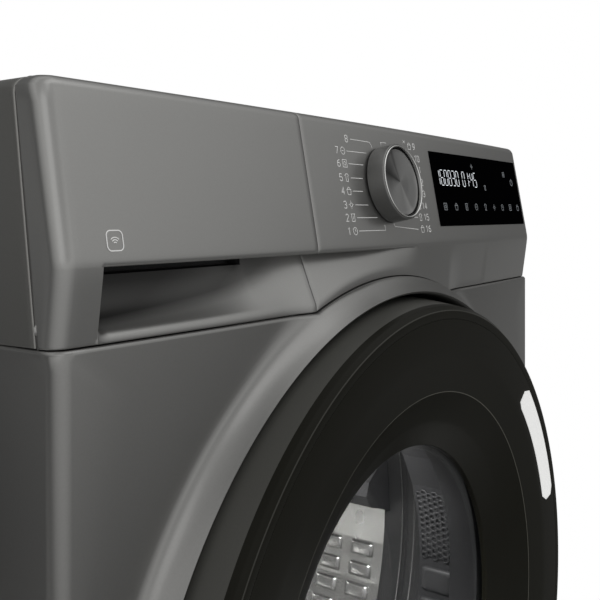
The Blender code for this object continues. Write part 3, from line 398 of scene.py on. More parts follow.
def recess_shade_highlight_material():
    """Fascia paint with painted shade that deepens towards the closed end and the top of the drawer
    recess, and a painted highlight, lighter than the fascia, towards its open end.
    """
    mat, tree, shader = nodes_of("recess_painted_shade_highlight")
    spot = add(tree, "TexCoord").outputs["Object"]
    split = add(tree, "SeparateXYZ", {0: spot})
    slope, middle = -1.6, 0.735
    slant = add(tree, "Math", {0: split.outputs["Z"]}, operation="MULTIPLY_ADD")
    slant.inputs[1].default_value = slope
    slant.inputs[2].default_value = -slope * middle
    place = add(tree, "Math", {0: split.outputs["X"], 1: slant.outputs[0]}, operation="ADD")
    along = add(tree, "MapRange", {"Value": place.outputs[0]}, From_Min=-0.235, From_Max=-0.050)
    deep = add(tree, "MapRange", {"Value": split.outputs["Y"]}, From_Min=depth(0.0062),
               From_Max=depth(0.0110))
    fine = add(tree, "TexNoise", {"Vector": spot}, Scale=900.0, Detail=2.0)
    # Painted light: near black at the closed end as painted shade, lighter than the fascia towards the
    # open end as a painted highlight.
    stops = ((0.0, 0.048), (0.30, 0.10), (0.55, 0.30), (0.74, 0.50), (0.90, 0.42))
    tone = ramp(tree, along.outputs["Result"], greys(stops, 0.972, 0.993))
    merge = add(tree, "Mix", data_type="RGBA")
    wire(tree, merge, {"Factor": deep.outputs["Result"], "B": tone}, A=(*FASCIA_TONE, 1.0))
    tint = add(tree, "Mix", data_type="RGBA", blend_type="SOFT_LIGHT")
    wire(tree, tint, {"A": merge.outputs["Result"], "B": fine.outputs["Color"]}, Factor=0.06)
    wire(tree, shader, {"Base Color": tint.outputs["Result"]}, Roughness=0.31, Metallic=0.85)
    return mat


def glass_material():
    mat, tree, shader = nodes_of("door_glass_tinted")
    wire(tree, shader, {}, Base_Color=(0.010, 0.011, 0.012, 1.0), Roughness=0.03, Alpha=0.15,
         Coat_Weight=0.25, Coat_Roughness=0.02)
    return mat


ZINC = zinc_material()
GLASS = glass_material()
RECESS_PAINTED_SHADE_HIGHLIGHT = recess_shade_highlight_material()


# ------------------------------------------------------------- camera, lights

def light_panel(name, spot, aim, size, power):
    data = bpy.data.lights.new(name, "AREA")
    data.shape = "RECTANGLE"
    data.size, data.size_y = size
    data.energy = power
    obj = bpy.data.objects.new(name, data)
    obj.location = spot
    obj.rotation_euler = (Vector(aim) - Vector(spot)).to_track_quat("-Z", "Y").to_euler()
    bpy.context.scene.collection.objects.link(obj)


def build_studio():
    cam = bpy.data.cameras.new("camera")
    cam.lens = 51.0
    cam.sensor_width = 36.0
    cam.shift_y = -0.144
    cam.clip_start = 0.01
    rig = bpy.data.objects.new("camera", cam)
    rig.location = (-0.552, -0.566, 0.7827)
    rig.rotation_euler = (math.radians(90.0), 0.0, math.radians(-54.4))
    bpy.context.scene.collection.objects.link(rig)
    bpy.context.scene.camera = rig

    world = bpy.data.worlds.new("studio")
    bpy.context.scene.world = world
    bpy.context.scene.view_settings.view_transform = "Standard"
    world.use_nodes = True
    tree = world.node_tree
    sky = add(tree, "TexCoord").outputs["Generated"]
    lobe = add(tree, "VectorMath", {0: sky}, operation="DOT_PRODUCT")
    lobe.inputs[1].default_value = (-0.30, -0.60, 0.74)
    shift = add(tree, "MapRange", {"Value": lobe.outputs["Value"]}, From_Min=-1.0)
    levels = ((-1.0, 0.02), (-0.50, 0.02), (-0.42, 0.09), (-0.30, 0.30), (-0.06, 0.055),
              (0.04, 0.104), (0.17, 0.300), (0.32, 0.505), (0.48, 0.605), (0.56, 0.62),
              (0.64, 0.90), (0.72, 0.62), (0.80, 0.50), (0.95, 0.56))
    stops = greys([(0.5 + 0.5 * dot, level) for dot, level in levels])
    tone = ramp(tree, shift.outputs["Result"], stops)
    back = tree.nodes["Background"]
    wire(tree, back, {"Color": tone}, Strength=1.12)
    seen = add(tree, "Background", Color=(1.0, 1.0, 1.0, 1.0), Strength=1.0)
    path = add(tree, "LightPath")
    join = add(tree, "MixShader", {"Fac": path.outputs["Is Camera Ray"], 1: back.outputs[0],
                                   2: seen.outputs[0]})
    tree.links.new(join.outputs[0], tree.nodes["World Output"].inputs["Surface"])

    light_panel("key_left", (-1.5, -1.5, 1.5), (-0.25, -0.25, 0.7), (1.1, 1.1), 2.0)
    light_panel("key_above", (0.1, -1.1, 2.3), (0.0, -0.2, 0.7), (1.6, 1.0), 3.0)
    light_panel("drum_lamp", (-0.02, depth(0.075), AXIS_Z + 0.20), (0.06, depth(0.30), AXIS_Z - 0.1),
                (0.05, 0.03), 3.2)

    floor = bmesh.new()
    slab(floor, circle(0.0, 0.0, 1.02, 96)[:-1], -0.02, 0.0)
    mesh = bpy.data.meshes.new("floor")
    floor.to_mesh(mesh)
    floor.free()
    mesh.materials.append(finish("pale_floor", (0.80, 0.80, 0.79), 0.6, 0.0, vary=0.02, bump=0.02))
    obj = bpy.data.objects.new("floor", mesh)
    bpy.context.scene.collection.objects.link(obj)


# --------------------------------------------------------------- outer panels

ROLL = ((0.0, 0.0050), (0.0, 0.0011), (0.00015, 0.0006), (0.0005, 0.0002), (0.0011, 0.0))
FOOT_ROLL = ((0.0, 0.0050), (0.0, 0.0005), (0.00007, 0.00027), (0.00023, 0.00009), (0.0005, 0.0))


def unrolled(s, z, back, half, lift):
    """Front sheet that turns round the vertical corners; back is the set-back."""
    side = 1.0 if s >= 0.0 else -1.0
    over = abs(s) - half
    if over <= 0.0:
        return (s, depth(lift + bow(s)) + back, z)
    bend = CORNER_R * math.pi / 2
    t = min(over / CORNER_R, math.pi / 2)
    r = CORNER_R - back
    x = half + r * math.sin(t)
    y = CORNER_R - r * math.cos(t) + bow(half) * (1.0 - math.sin(t))
    if over > bend:
        y += over - bend
    return (side * x, depth(y), z)


def outline_radius(a, s_half, z_lo, z_hi, arch):
    ca, sa = math.cos(a), math.sin(a)
    limits = []
    if abs(ca) > 1e-9:
        limits.append(s_half / abs(ca))
    if sa > 1e-9:
        limits.append(max((z_hi - AXIS_Z) / sa, arch))
    if sa < -1e-9:
        limits.append((AXIS_Z - z_lo) / -sa)
    return min(limits)


def build_front_panel():
    """Steel front: rings of points from the opening out to the rolled outer edge."""
    half, reach = HALF_W - CORNER_R, 0.35435
    z_lo, z_hi, arch = 0.1000, SEAM_Z - GAP / 2, ARCH_R - GAP / 2
    turn = math.asin((z_hi - AXIS_Z) / arch)
    special = [math.atan2(z - AXIS_Z, sign * s) for s in (reach, half, half + 0.0134)
               for sign in (1.0, -1.0) for z in (z_lo, z_hi)] + [turn, math.pi - turn]
    special = [a % (2.0 * math.pi) for a in special]
    even = [2.0 * math.pi * i / 260 for i in range(260)]
    angles = sorted(special + [a for a in even if all(abs(a - s) > math.radians(0.5) for s in special)])
    rolled = ((0.0020, 0.0), (0.0014, 0.0001), (0.0009, 0.00035), (0.0004, 0.0007), (0.0001, 0.0011),
              (0.0, 0.0014), (0.0, 0.0060))
    first = rolled[0][0]

    def edge_at(a, inset, wide=reach):
        return outline_radius(a, wide - inset, z_lo + inset, z_hi - inset, arch - inset)

    def row_at(radius, sunk):
        row = []
        for a in angles:
            r = radius(a)
            row.append(unrolled(r * math.cos(a), AXIS_Z + r * math.sin(a), sunk, half,
                                collar(r, abs(math.cos(a)))))
        return row

    grid = [[(r * math.cos(a), depth(d + bow(r * math.cos(a))), AXIS_Z + r * math.sin(a))
             for a in angles]
            for r, d in ((OPEN_R, 0.0100), (OPEN_R, -0.0120), (OPEN_R + 0.0002, -0.0150),
                         (OPEN_R + 0.0009, -0.0168))]
    radii = (COLLAR_TOP_R, 0.2700, 0.2715, 0.2735, 0.2755, 0.2780, 0.2805, 0.2835, 0.2865, 0.2900,
             0.2940, COLLAR_R)
    bends = [half + CORNER_R * math.pi / 2 * k / 7 for k in range(8)]
    plans = [lambda a, r=r: r for r in radii]
    plans.append(lambda a: max(COLLAR_R, 0.5 * (COLLAR_R + edge_at(a, first, half + first))))
    plans += [lambda a, s=s: s / max(abs(math.cos(a)), 1e-6) for s in bends]
    plans.append(lambda a: edge_at(a, first))
    for k, plan in enumerate(plans):
        spare = 0.00004 * (len(plans) - k)
        grid.append(row_at(lambda a: max(min(plan(a), edge_at(a, first) - spare), COLLAR_TOP_R), 0.0))
    for e, o in rolled:
        grid.append(row_at(lambda a: edge_at(a, e), o))
    surface("steel_front_skin", grid, STEEL, "cabinet", (0.0, -1.0, 0.0), wrap=True, sharp=50.0,
            replaces=["front_panel"], slot="steel_paint")


def fascia_row(w):
    """Depth, height, side inset, corner radius and side end for one row above the crease."""
    r, round_r = 0.0065, 0.008
    zc = HEIGHT - r
    dc = CREASE_D + (zc - CREASE_Z) * LEAN + r / math.cos(TILT)
    if w <= 1.0:
        z = mix(CREASE_Z, zc + r * math.sin(TILT), w)
        return plain_depth(z), z, 0.0, CORNER_R, seam_depth(z)
    if w <= 2.0:
        a, t = mix(TILT, math.pi / 2, w - 1.0), smoothstep(w - 1.0)
        end = mix(seam_depth(0.845), 0.0296, t)
        z = zc + r * math.sin(a)
        h = max(0.0, z - (HEIGHT - round_r))
        inset = round_r - math.sqrt(max(0.0, round_r ** 2 - h * h))
        return dc - r * math.cos(a), z, inset, mix(CORNER_R, 0.0050, t), end
    return mix(dc, 0.0255, w - 2.0), HEIGHT, round_r, mix(0.0050, 0.0038, w - 2.0), 0.0296


def seam_bottom(x):
    inside = (ARCH_R + GAP / 2) ** 2 - x * x
    arch = AXIS_Z + math.sqrt(inside) if inside > 0.0 else 0.0
    return max(SEAM_Z + GAP / 2, arch)


SCOOP = [(-0.2725, 0.0235), (-0.2000, 0.0240), (-0.1650, 0.0232), (-0.1400, 0.0208),
         (-0.1150, 0.0162), (-0.0950, 0.0122), (-0.0600, 0.0080), (-0.0200, 0.0045),
         (0.0150, 0.0008), (0.0380, -0.0020), (0.0700, -0.0025)]
WALL_TURN = [(-0.2725, 3.4), (-0.2000, 2.6), (-0.1650, 2.0), (-0.1350, 1.4), (-0.1074, 1.1),
             (-0.0500, 1.0)]
WALL_LEAN = [(-0.2725, 0.34), (-0.2000, 0.28), (-0.1500, 0.10), (-0.1200, 0.0), (-0.0500, 0.0)]
SCOOP_X = -0.2725
LIP_Z = 0.7567
SLOT_LOW, SLOT_TOP = 0.7514, 0.7655
SLOT_LEFT, SLOT_RIGHT = -0.2708, -0.1495
LOW_LIP_Z = 0.7226
CREASE_SOFT = 0.0008
STRIP = [(-0.2725, 0.0030), (-0.1000, 0.0034), (-0.0600, 0.0056), (0.0000, 0.0056),
         (0.0500, 0.0036), (0.0900, 0.0010), (0.1500, 0.0010)]


def plain_depth(z):
    """Tucked-in face under the crease and the leaning face, with a soft crease."""
    low = mix(0.0030, CREASE_D, (z - SEAM_Z) / (CREASE_Z - SEAM_Z))
    high = CREASE_D + (z - CREASE_Z) * LEAN
    return 0.5 * (low + high) + 0.5 * math.sqrt((low - high) ** 2 + CREASE_SOFT ** 2)


def lower_section(x, inside):
    """Section of the fascia from its bottom seam up to the crease, collar included."""
    bottom, corner, lip = seam_bottom(x), 0.0065, 0.0024
    run = x - SCOOP_X
    low = max(LOW_LIP_Z, bottom + table(STRIP, x))
    if 0.0 <= run < corner:
        low += corner - math.sqrt(max(0.0, corner ** 2 - (corner - run) ** 2))
    lift = collar(math.hypot(x, bottom - AXIS_Z), side_of(x, bottom))
    foot = mix(plain_depth(SEAM_Z), plain_depth(low), 0.3) + lift
    back = max(table(SCOOP, x), plain_depth(LIP_Z))
    turn, lean = table(WALL_TURN, x), table(WALL_LEAN, x)

    def wall(z):
        t = min(1.0, max(0.0, (z - low) / (LIP_Z - low)))
        return foot + (back - foot) * (1.0 - (1.0 - t) ** turn - lean * t)

    slot_low, slot_top, slot_back = LIP_Z - 0.0002, LIP_Z, wall(LIP_Z)
    if SLOT_LEFT < x < SLOT_RIGHT:
        slot_low, slot_top, slot_back = SLOT_LOW, SLOT_TOP, min(back + 0.0080, 0.0316)
    slot_front = min(0.0080, slot_back)

    seam_roll = FOOT_ROLL[-1][0]
    pts = [(foot, bottom + e) for e, _ in FOOT_ROLL]
    pts.append((foot, mix(bottom + seam_roll, low - lip, 0.5)))
    lower, upper = max(low - lip, bottom + seam_roll * 1.3), low + lip
    for k in range(7):
        t = k / 6
        a, b, c = (1 - t) ** 2, 2 * t * (1 - t), t * t
        pts.append((a * foot + b * foot + c * wall(upper), a * lower + b * low + c * upper))
    for k in range(1, 11):
        z = mix(upper, slot_low, (k / 10) ** 1.8)
        pts.append((wall(z), z))
    edge = plain_depth(CREASE_Z)
    pts += [(slot_back, slot_low + 0.0002), (slot_back, slot_top), (slot_front, slot_top),
            (slot_front, LIP_Z), (min(edge + 0.0012, back), LIP_Z),
            (min(edge + 0.0005, back), LIP_Z + 0.00020), (edge + 0.0001, LIP_Z + 0.0009)]
    out = []
    for d, z in pts:
        flat_z = min(z, LIP_Z + 0.0009)
        flat = plain_depth(flat_z) + collar(math.hypot(x, flat_z - AXIS_Z), side_of(x, flat_z))
        out.append((mix(flat, d, inside), mix(flat_z, z, inside)))
    return out


def fascia_columns(left, right):
    """Positions across the front, closer together at the ends of the recess and the slot."""
    marks = [SCOOP_X + e for e in (-0.0060, -0.0020, -0.0004, 0.0, 0.0003, 0.0010, 0.0022, 0.0040,
                                   0.0065)]
    marks += [x + e for x in (SLOT_LEFT, SLOT_RIGHT) for e in (-0.0001, 0.0001)]
    steps = int((right - left) / 0.004)
    even = [mix(left, right, i / steps) for i in range(steps + 1)]
    values = {round(x, 6) for x in even if all(abs(x - m) > 0.0012 for m in marks)}
    return sorted(values | {m for m in marks if left + 0.002 < m < right - 0.002})


def fascia_skin(name, left, right, wrap_left, replaced):
    """One part of the fascia: columns from its free end round one corner to the side seam."""
    side = -1.0 if wrap_left else 1.0
    free_end = right if wrap_left else left
    fronts = [("front", x, 0.0) for x in fascia_columns(left, right) if abs(x - free_end) > 0.0013]
    columns = [("front", free_end + side * e, o) for e, o in FOOT_ROLL]
    columns += reversed(fronts) if wrap_left else fronts
    columns += [("arc", math.pi / 2 * k / 8, 0.0) for k in range(1, 9)]
    columns += [("side", t, 0.0) for t in (0.3, 0.6, 0.85)]
    columns += [("edge", e, o) for e, o in reversed(ROLL)]
    if wrap_left:
        columns.reverse()

    def place(column, d, z, inset, radius, end, row_sunk):
        kind, value, sunk = column
        o = max(sunk, row_sunk)
        cx = HALF_W - inset - radius
        drop = o if z > HEIGHT - 0.0005 else 0.0
        if kind == "front":
            x = min(max(value, -cx), cx)
            tilt = 0.98 if z < HEIGHT - 0.004 else 0.3
            return (x, depth(d + bow(x) + o * tilt), z - o * (1.0 - tilt) - drop)
        if kind == "arc":
            r = radius - o
            y = d + radius - r * math.cos(value) + bow(cx) * (1.0 - math.sin(value))
            return (side * (cx + r * math.sin(value)), depth(y), z - drop)
        y = mix(d + radius, end, value) if kind == "side" else end - value
        return (side * (HALF_W - inset - o), depth(y), z - drop)

    sections = []
    for kind, value, _ in columns:
        x = value if kind == "front" else side * 0.2895
        inside = 1.0 if kind == "front" and SCOOP_X - 1e-6 <= x < 0.1800 else 0.0
        sections.append(lower_section(x, inside))
    sunk = [o for _, o in FOOT_ROLL] + [0.0] * len(sections[0])
    grid = [[place(c, *s[k], 0.0, CORNER_R, seam_depth(s[k][1]), sunk[k])
             for c, s in zip(columns, sections)] for k in range(len(sections[0]))]
    rows = [0.008, 0.018, 0.03, 0.045, 0.065] + [0.1 * k for k in range(1, 11)]
    rows += [1.0 + k / 10 for k in range(1, 11)] + [2.3, 2.6]
    grid += [[place(c, *fascia_row(w), 0.0) for c in columns] for w in rows]
    d, z, inset, radius, end = fascia_row(3.0)
    grid += [[place(c, d - e, z, inset, radius, end - e, o) for c in columns]
             for e, o in reversed(ROLL)]
    skin = surface(name, grid, FASCIA, "water_drawer" if wrap_left else "cabinet", (0.0, -1.0, 0.3),
                   sharp=45.0, replaces=[replaced], slot="fascia_paint")
    if wrap_left:
        # Faces inside the drawer recess get the recess paint: painted shade towards its closed end and
        # top, painted highlight towards its open end.
        repaint(skin, RECESS_PAINTED_SHADE_HIGHLIGHT, lambda c: -0.2722 < c.x and 0.7232 < c.z < LIP_Z - 0.00005
                and c.y > depth(0.0030 + bow(c.x)) and c.y < depth(0.0300))
    # The slot above the recess is painted black: painted shade in the opening.
    repaint(skin, BLACK, lambda c: -0.2715 < c.x < -0.1490 and SLOT_LOW + 0.00005 < c.z < 0.7660
            and c.y > depth(0.0060 + bow(c.x)))


def build_side_panel(side):
    """Side sheet that follows the front seam, turned in over the top cover."""
    rear, top_r, front_top = REAR_DEPTH - 0.0004, 0.008, 0.0302
    rows = [(z, 0.0, 0.0606) for z in (0.0200, 0.0202, 0.0208, 0.0216, 0.1, 0.3, 0.5, 0.65, 0.7168,
                                       0.7176, 0.7180)]
    rows += [(z, 0.0, seam_depth(z) + GAP) for z in (0.7187, 0.7192, 0.7200, 0.7400, 0.7700, 0.8000,
                                                     0.8300, 0.8415)]
    for k in range(1, 9):
        a = math.pi / 2 * k / 8
        rows.append((HEIGHT - top_r + top_r * math.sin(a), top_r - top_r * math.cos(a),
                     mix(seam_depth(0.842), front_top, k / 8) + GAP))
    rows.append((HEIGHT, 0.0165, front_top + GAP))
    grid = []
    for z, inset, front in rows:
        line = [(front + e, o) for e, o in ROLL]
        line += [(front + 0.004, 0.0), (0.12, 0.0), (0.28, 0.0), (0.44, 0.0)]
        line += [(rear - e, o) for e, o in reversed(ROLL)]
        grid.append([(side * (HALF_W - inset - (o if inset < 0.0079 else 0.0)), depth(d),
                      z - (o if inset > 0.004 else 0.0)) for d, o in line])
    last = grid[-1]
    for drop in (0.0006, 0.0050):
        grid.append([(side * (HALF_W - 0.0182), y, z - drop) for _, y, z in last])
    word = "left" if side < 0 else "right"
    surface(word + "_side_skin", grid, SIDE, "cabinet", (side, 0.0, 0.2), sharp=45.0,
            replaces=[word + "_side_panel"], slot="side_paint")


def build_top():
    bm = bmesh.new()
    front, back = depth(0.0262), depth(REAR_DEPTH - 0.0004)
    slab(bm, [(-0.2794, front), (0.2794, front), (0.2794, back), (-0.2794, back)], 0.8386, HEIGHT)
    finish_mesh("top_skin", bm, SIDE, "cabinet", bevel=0.0011, replaces=["top_cover"],
                slot="side_paint")


def build_door():
    ring = rounded([(0.2498, -0.0250), (0.2498, -0.0462), (0.2562, -0.0466), (0.2592, -0.0432),
                    (0.2603, -0.0385), (0.2640, -0.0120), (0.2630, -0.0005), (0.2440, -0.0005)],
                   [0.0, 0.0004, 0.0010, 0.003, 0.0010, 0.004, 0.001, 0.001])
    skin = lathe("door_ring_skin", ring, BRONZE, "door", steps=256, sharp=30.0,
                 replaces=["door_outer_ring"], slot="bronze_black")

    def around(c):
        return math.hypot(c.x, c.z - AXIS_Z), c.y - FRONT_Y

    # The ring's side wall gets the lighter bronze: painted light.
    repaint(skin, BRONZE_SIDE_PAINTED_LIGHT, lambda c: around(c)[0] > 0.2600 and around(c)[1] > -0.0380)
    # The front fold of the ring gets the lighter bronze: painted highlight.
    repaint(skin, BRONZE_FOLD_HIGHLIGHT, lambda c: 0.2556 < around(c)[0] < 0.2568 and around(c)[1] < -0.0458)
    dish = rounded([(0.2497, -0.0462), (0.2230, -0.0442), (0.1955, -0.0400), (0.1720, -0.0290),
                    (0.1525, -0.0178), (0.1525, -0.0132), (0.1560, -0.0132), (0.1955, -0.0358),
                    (0.2497, -0.0424)],
                   [0.0002, 0.1, 0.0022, 0.05, 0.0012, 0.0004, 0.001, 0.01, 0.0002], steps=6)
    skin = lathe("door_dish_skin", dish, BRONZE, "door", steps=256, sharp=30.0,
                 replaces=["door_front_annulus"], slot="bronze_black")
    # The dish edge gets the brighter bronze: painted highlight.
    repaint(skin, BRONZE_EDGE_HIGHLIGHT, lambda c: 0.1951 < around(c)[0] < 0.1958 and around(c)[1] < -0.0385)
    bowl = rounded([(0.0, 0.0880), (0.1060, 0.0840), (0.1290, 0.0680), (0.1470, -0.0128),
                    (0.1605, -0.0128), (0.1605, -0.0088), (0.1510, -0.0088), (0.1332, 0.0705),
                    (0.1080, 0.0882), (0.0, 0.0920)],
                   [0.0, 0.03, 0.02, 0.006, 0.0006, 0.0006, 0.003, 0.02, 0.03, 0.0], closed=False,
                   steps=8)
    lathe("door_glass_bowl", bowl, GLASS, "door", steps=192, sharp=50.0,
          replaces=["door_glass"], slot="glass")
    inner = rounded([(0.2400, -0.0030), (0.2400, 0.0015), (0.1960, 0.0037), (0.1740, 0.0037),
                     (0.1705, 0.0240), (0.1655, 0.0240), (0.1655, -0.0030)], 0.0008, steps=3)
    lathe("door_inner_skin", inner, BLACK, "door", steps=192, replaces=["door_inner_frame"],
          slot="black_plastic")
    seal = rounded([(0.1960, 0.0136), (0.1960, 0.0040), (0.1840, 0.0040), (0.1840, 0.0136),
                    (0.1900, 0.0126)], 0.0018, steps=4)
    lathe("door_seal_ring", seal, RUBBER, "door", steps=160, replaces=["door_seal"], slot="rubber")


def dish_depth(r):
    """Front of the door just inside its outer ring."""
    return table([(0.1955, -0.0400), (0.2230, -0.0442), (0.2497, -0.0462), (0.2600, -0.0466)], r)


def build_label():
    """Blank film that follows the right side of the door, with cut corners at its ends."""
    top, low = math.radians(45.0), math.radians(15.0)
    steps = 36
    bm = bmesh.new()
    rows = []
    for i in range(steps + 1):
        t = i / steps
        a = mix(top, low, t)
        near = min(t, 1.0 - t) * (top - low) * 0.24
        cut = max(0.0, 0.007 - near) * 0.9
        if t < 0.5:
            inner, outer = 0.2268 + cut * 0.4, 0.2470 - cut
        else:
            inner, outer = 0.2268 + cut, 0.2470 - cut * 0.6
        spots = [(mix(inner, outer, k / 3), 0.00035) for k in range(4)]
        spots += [(mix(outer, inner, k / 3), 0.0) for k in range(4)]
        rows.append([bm.verts.new((r * math.cos(a), depth(dish_depth(r) - out - 0.0001),
                                   AXIS_Z + r * math.sin(a))) for r, out in spots])
    stack(bm, rows)
    bm.faces.new(list(reversed(rows[0])))
    bm.faces.new(rows[-1])
    finish_mesh("door_label_film", bm, LABEL_PAINTED_GLOW, "door", replaces=["door_label"], slot="label_white")


# ------------------------------------------------------------------------ knob

def knob_part(name, profile, mat, slot, closed=False, **more):
    return finish_mesh(name, lathe_bm(profile, 128, closed), mat, "programme_knob", sharp=35.0,
                       place=face_frame(KNOB_X, KNOB_UP), slot=slot, **more)


def build_knob():
    body = rounded([(0.0, KNOB_H - 0.0060), (0.0120, KNOB_H - 0.0058), (0.0230, KNOB_H - 0.0054),
                    (0.0250, KNOB_H - 0.0052), (0.0261, KNOB_H - 0.0052), (0.0261, KNOB_H - 0.0030),
                    (0.0274, KNOB_H - 0.0030), (0.0275, KNOB_H - 0.0004), (0.0284, KNOB_H - 0.0010),
                    (0.0288, 0.0010), (0.0260, 0.0007), (0.0255, 0.0100), (0.0, 0.0100)],
                   [0.0, 0.05, 0.01, 0.0002, 0.0, 0.0, 0.0, 0.0002, 0.0008, 0.0010, 0.0004, 0.0004,
                    0.0],
                   closed=False, steps=5)
    obj = knob_part("knob_barrel", body, KNOB_PAINT, "fascia_paint", replaces=["programme_knob"])
    # The groove between the face disc and the ring is painted black: painted shade in the groove.
    repaint(obj, BLACK, lambda c: math.hypot(c.x, c.y) < 0.0262 and c.z > 0.008)
    disc = rounded([(0.0, KNOB_H - 0.0034), (0.0120, KNOB_H - 0.0033), (0.0225, KNOB_H - 0.0028),
                    (0.0249, KNOB_H - 0.0024), (0.0249, KNOB_H - 0.0040), (0.0, KNOB_H - 0.0044)],
                   [0.0, 0.05, 0.012, 0.0005, 0.0, 0.0], closed=False, steps=6)
    knob_part("knob_face_disc", disc, spun_face_painted_sheen_material(), "fascia_paint")
    ring = rounded([(0.0262, KNOB_H - 0.0029), (0.0262, KNOB_H - 0.0001), (0.0268, KNOB_H + 0.0003),
                    (0.0273, KNOB_H - 0.0001), (0.0273, KNOB_H - 0.0029)],
                   [0.0, 0.0003, 0.0004, 0.0003, 0.0], steps=3)
    knob_part("knob_bright_ring", ring, BRIGHT, "bright_metal", True, replaces=["knob_trim_ring"])


def spun_face_painted_sheen_material():
    """Spun metal: fine rings, and a painted sheen: lighter and darker wedges in the base colour that
    fan out from the centre.
    """
    mat, tree, shader = nodes_of("spun_knob_face_painted_sheen")
    split = add(tree, "SeparateXYZ", {0: add(tree, "TexCoord").outputs["Object"]}).outputs
    flat = add(tree, "CombineXYZ", {"X": split["X"], "Y": split["Y"]}).outputs[0]
    length = add(tree, "VectorMath", {0: flat}, operation="LENGTH").outputs["Value"]
    rings = add(tree, "TexNoise", {"W": length}, noise_dimensions="1D", Scale=2600.0, Detail=2.0)
    fan = add(tree, "TexGradient", {"Vector": flat}, gradient_type="RADIAL")
    # Painted sheen: base colour tones by angle round the disc centre.
    tones = ((0.0, 0.25), (0.08, 0.30), (0.25, 0.25), (0.31, 0.34), (0.34, 0.24), (0.45, 0.29),
             (0.60, 0.27), (0.72, 0.23), (0.778, 0.20), (0.803, 0.10), (0.83, 0.18), (0.89, 0.13),
             (0.945, 0.06), (0.97, 0.16), (1.0, 0.25))
    sheen = ramp(tree, fan.outputs["Fac"], greys(tones))
    grain = ramp(tree, rings.outputs["Fac"], greys(((0.3, 0.94), (0.7, 1.0)), 1.0))
    tint = add(tree, "Mix", data_type="RGBA", blend_type="MULTIPLY")
    wire(tree, tint, {"A": sheen, "B": grain}, Factor=1.0)
    gloss = add(tree, "MapRange", {"Value": rings.outputs["Fac"]}, To_Min=0.30, To_Max=0.36)
    tangent = add(tree, "Tangent", direction_type="RADIAL", axis="Z")
    wire(tree, shader, {"Base Color": tint.outputs["Result"], "Roughness": gloss.outputs["Result"],
                        "Tangent": tangent.outputs["Tangent"]}, Anisotropic=0.8, Metallic=0.95)
    return mat


# ------------------------------------------------------- display and printing

DIGITS = {
    "0": [[(0, 1), (0, 5), (1, 6), (3, 6), (4, 5), (4, 1), (3, 0), (1, 0), (0, 1)]],
    "1": [[(0.8, 4.8), (2.2, 6), (2.2, 0)]],
    "2": [[(0, 5), (1, 6), (3, 6), (4, 5), (4, 4), (0, 0), (4, 0)]],
    "3": [[(0, 5.2), (1, 6), (3, 6), (4, 5), (4, 4), (3, 3.1), (4, 2.2), (4, 1), (3, 0), (1, 0),
           (0, 0.8)], [(1.6, 3.1), (3, 3.1)]],
    "4": [[(3, 0), (3, 6), (0, 1.8), (4, 1.8)]],
    "5": [[(3.8, 6), (0.3, 6), (0, 3.3), (3, 3.6), (4, 2.6), (4, 1), (3, 0), (1, 0), (0, 0.8)]],
    "6": [[(3.6, 6), (1, 5), (0, 3), (0, 1), (1, 0), (3, 0), (4, 1), (4, 2.4), (3, 3.4), (1, 3.4),
           (0, 2.4)]],
    "7": [[(0, 6), (4, 6), (1.4, 0)]],
    "8": [[(1, 3.1), (0, 4), (0, 5.2), (1, 6), (3, 6), (4, 5.2), (4, 4), (3, 3.1), (1, 3.1),
           (0, 2.2), (0, 0.9), (1, 0), (3, 0), (4, 0.9), (4, 2.2), (3, 3.1)]],
    "9": [[(0.4, 0), (3, 1), (4, 3), (4, 5), (3, 6), (1, 6), (0, 5), (0, 3.6), (1, 2.6), (3, 2.6),
           (4, 3.6)]],
}
SEGMENTS = {"0": "abcdef", "1": "bc", "2": "abged", "3": "abgcd", "4": "fgbc", "5": "afgcd",
            "6": "afgedc", "7": "abc", "8": "abcdefg", "9": "abcdfg", "-": "g"}
SEGMENT_LINES = {"a": ((0.1, 1), (0.9, 1)), "b": ((1, 0.95), (1, 0.55)),
                 "c": ((1, 0.45), (1, 0.05)), "d": ((0.1, 0), (0.9, 0)),
                 "e": ((0, 0.05), (0, 0.45)), "f": ((0, 0.55), (0, 0.95)),
                 "g": ((0.1, 0.5), (0.9, 0.5))}
FINE, FIGURE, ICON_LINE, DIAL_LINE = 0.00042, 0.00055, 0.00036, 0.0005


def ribbon(bm, line, width, put, high=0.00012):
    """Printed or lit stroke: a thin raised strip along a polyline."""
    pts = [Vector(p) for p in line]
    closed = (pts[0] - pts[-1]).length < 1e-7 and len(pts) > 3
    if closed:
        pts = pts[:-1]
    rows = []
    for i, p in enumerate(pts):
        dirs = []
        if i or closed:
            dirs.append((p - pts[i - 1]).normalized())
        if i < len(pts) - 1 or closed:
            dirs.append((pts[(i + 1) % len(pts)] - p).normalized())
        along = sum(dirs, Vector((0.0, 0.0)))
        along = along.normalized() if along.length > 1e-6 else dirs[0]
        side = Vector((-along.y, along.x))
        grow = 1.0 / max(0.5, side.dot(Vector((-dirs[0].y, dirs[0].x))))
        left, right = p + side * width * 0.5 * grow, p - side * width * 0.5 * grow
        rows.append([bm.verts.new(put(q.x, q.y, h)) for q, h in
                     ((left, high), (right, high), (right, 0.0), (left, 0.0))])
    stack(bm, rows + rows[:1] if closed else rows)
    if not closed:
        bm.faces.new(list(reversed(rows[0])))
        bm.faces.new(rows[-1])


def strokes(bm, lines, width, put):
    for line in lines:
        ribbon(bm, line, width, put)


def circle(cx, cy, r, steps=14, start=0.0, sweep=360.0):
    return [(cx + r * math.cos(math.radians(start + sweep * i / steps)),
             cy + r * math.sin(math.radians(start + sweep * i / steps))) for i in range(steps + 1)]


def number(text, x, y, size, right_end=False):
    """Strokes of a printed number whose left or right end is at x."""
    unit = size / 6.0
    step = 5.6 * unit
    start = x - step * len(text) + 1.6 * unit if right_end else x
    out = []
    for i, sign in enumerate(text):
        for line in DIGITS[sign]:
            out.append([(start + i * step + px * unit, y + (py - 3) * unit) for px, py in line])
    return out


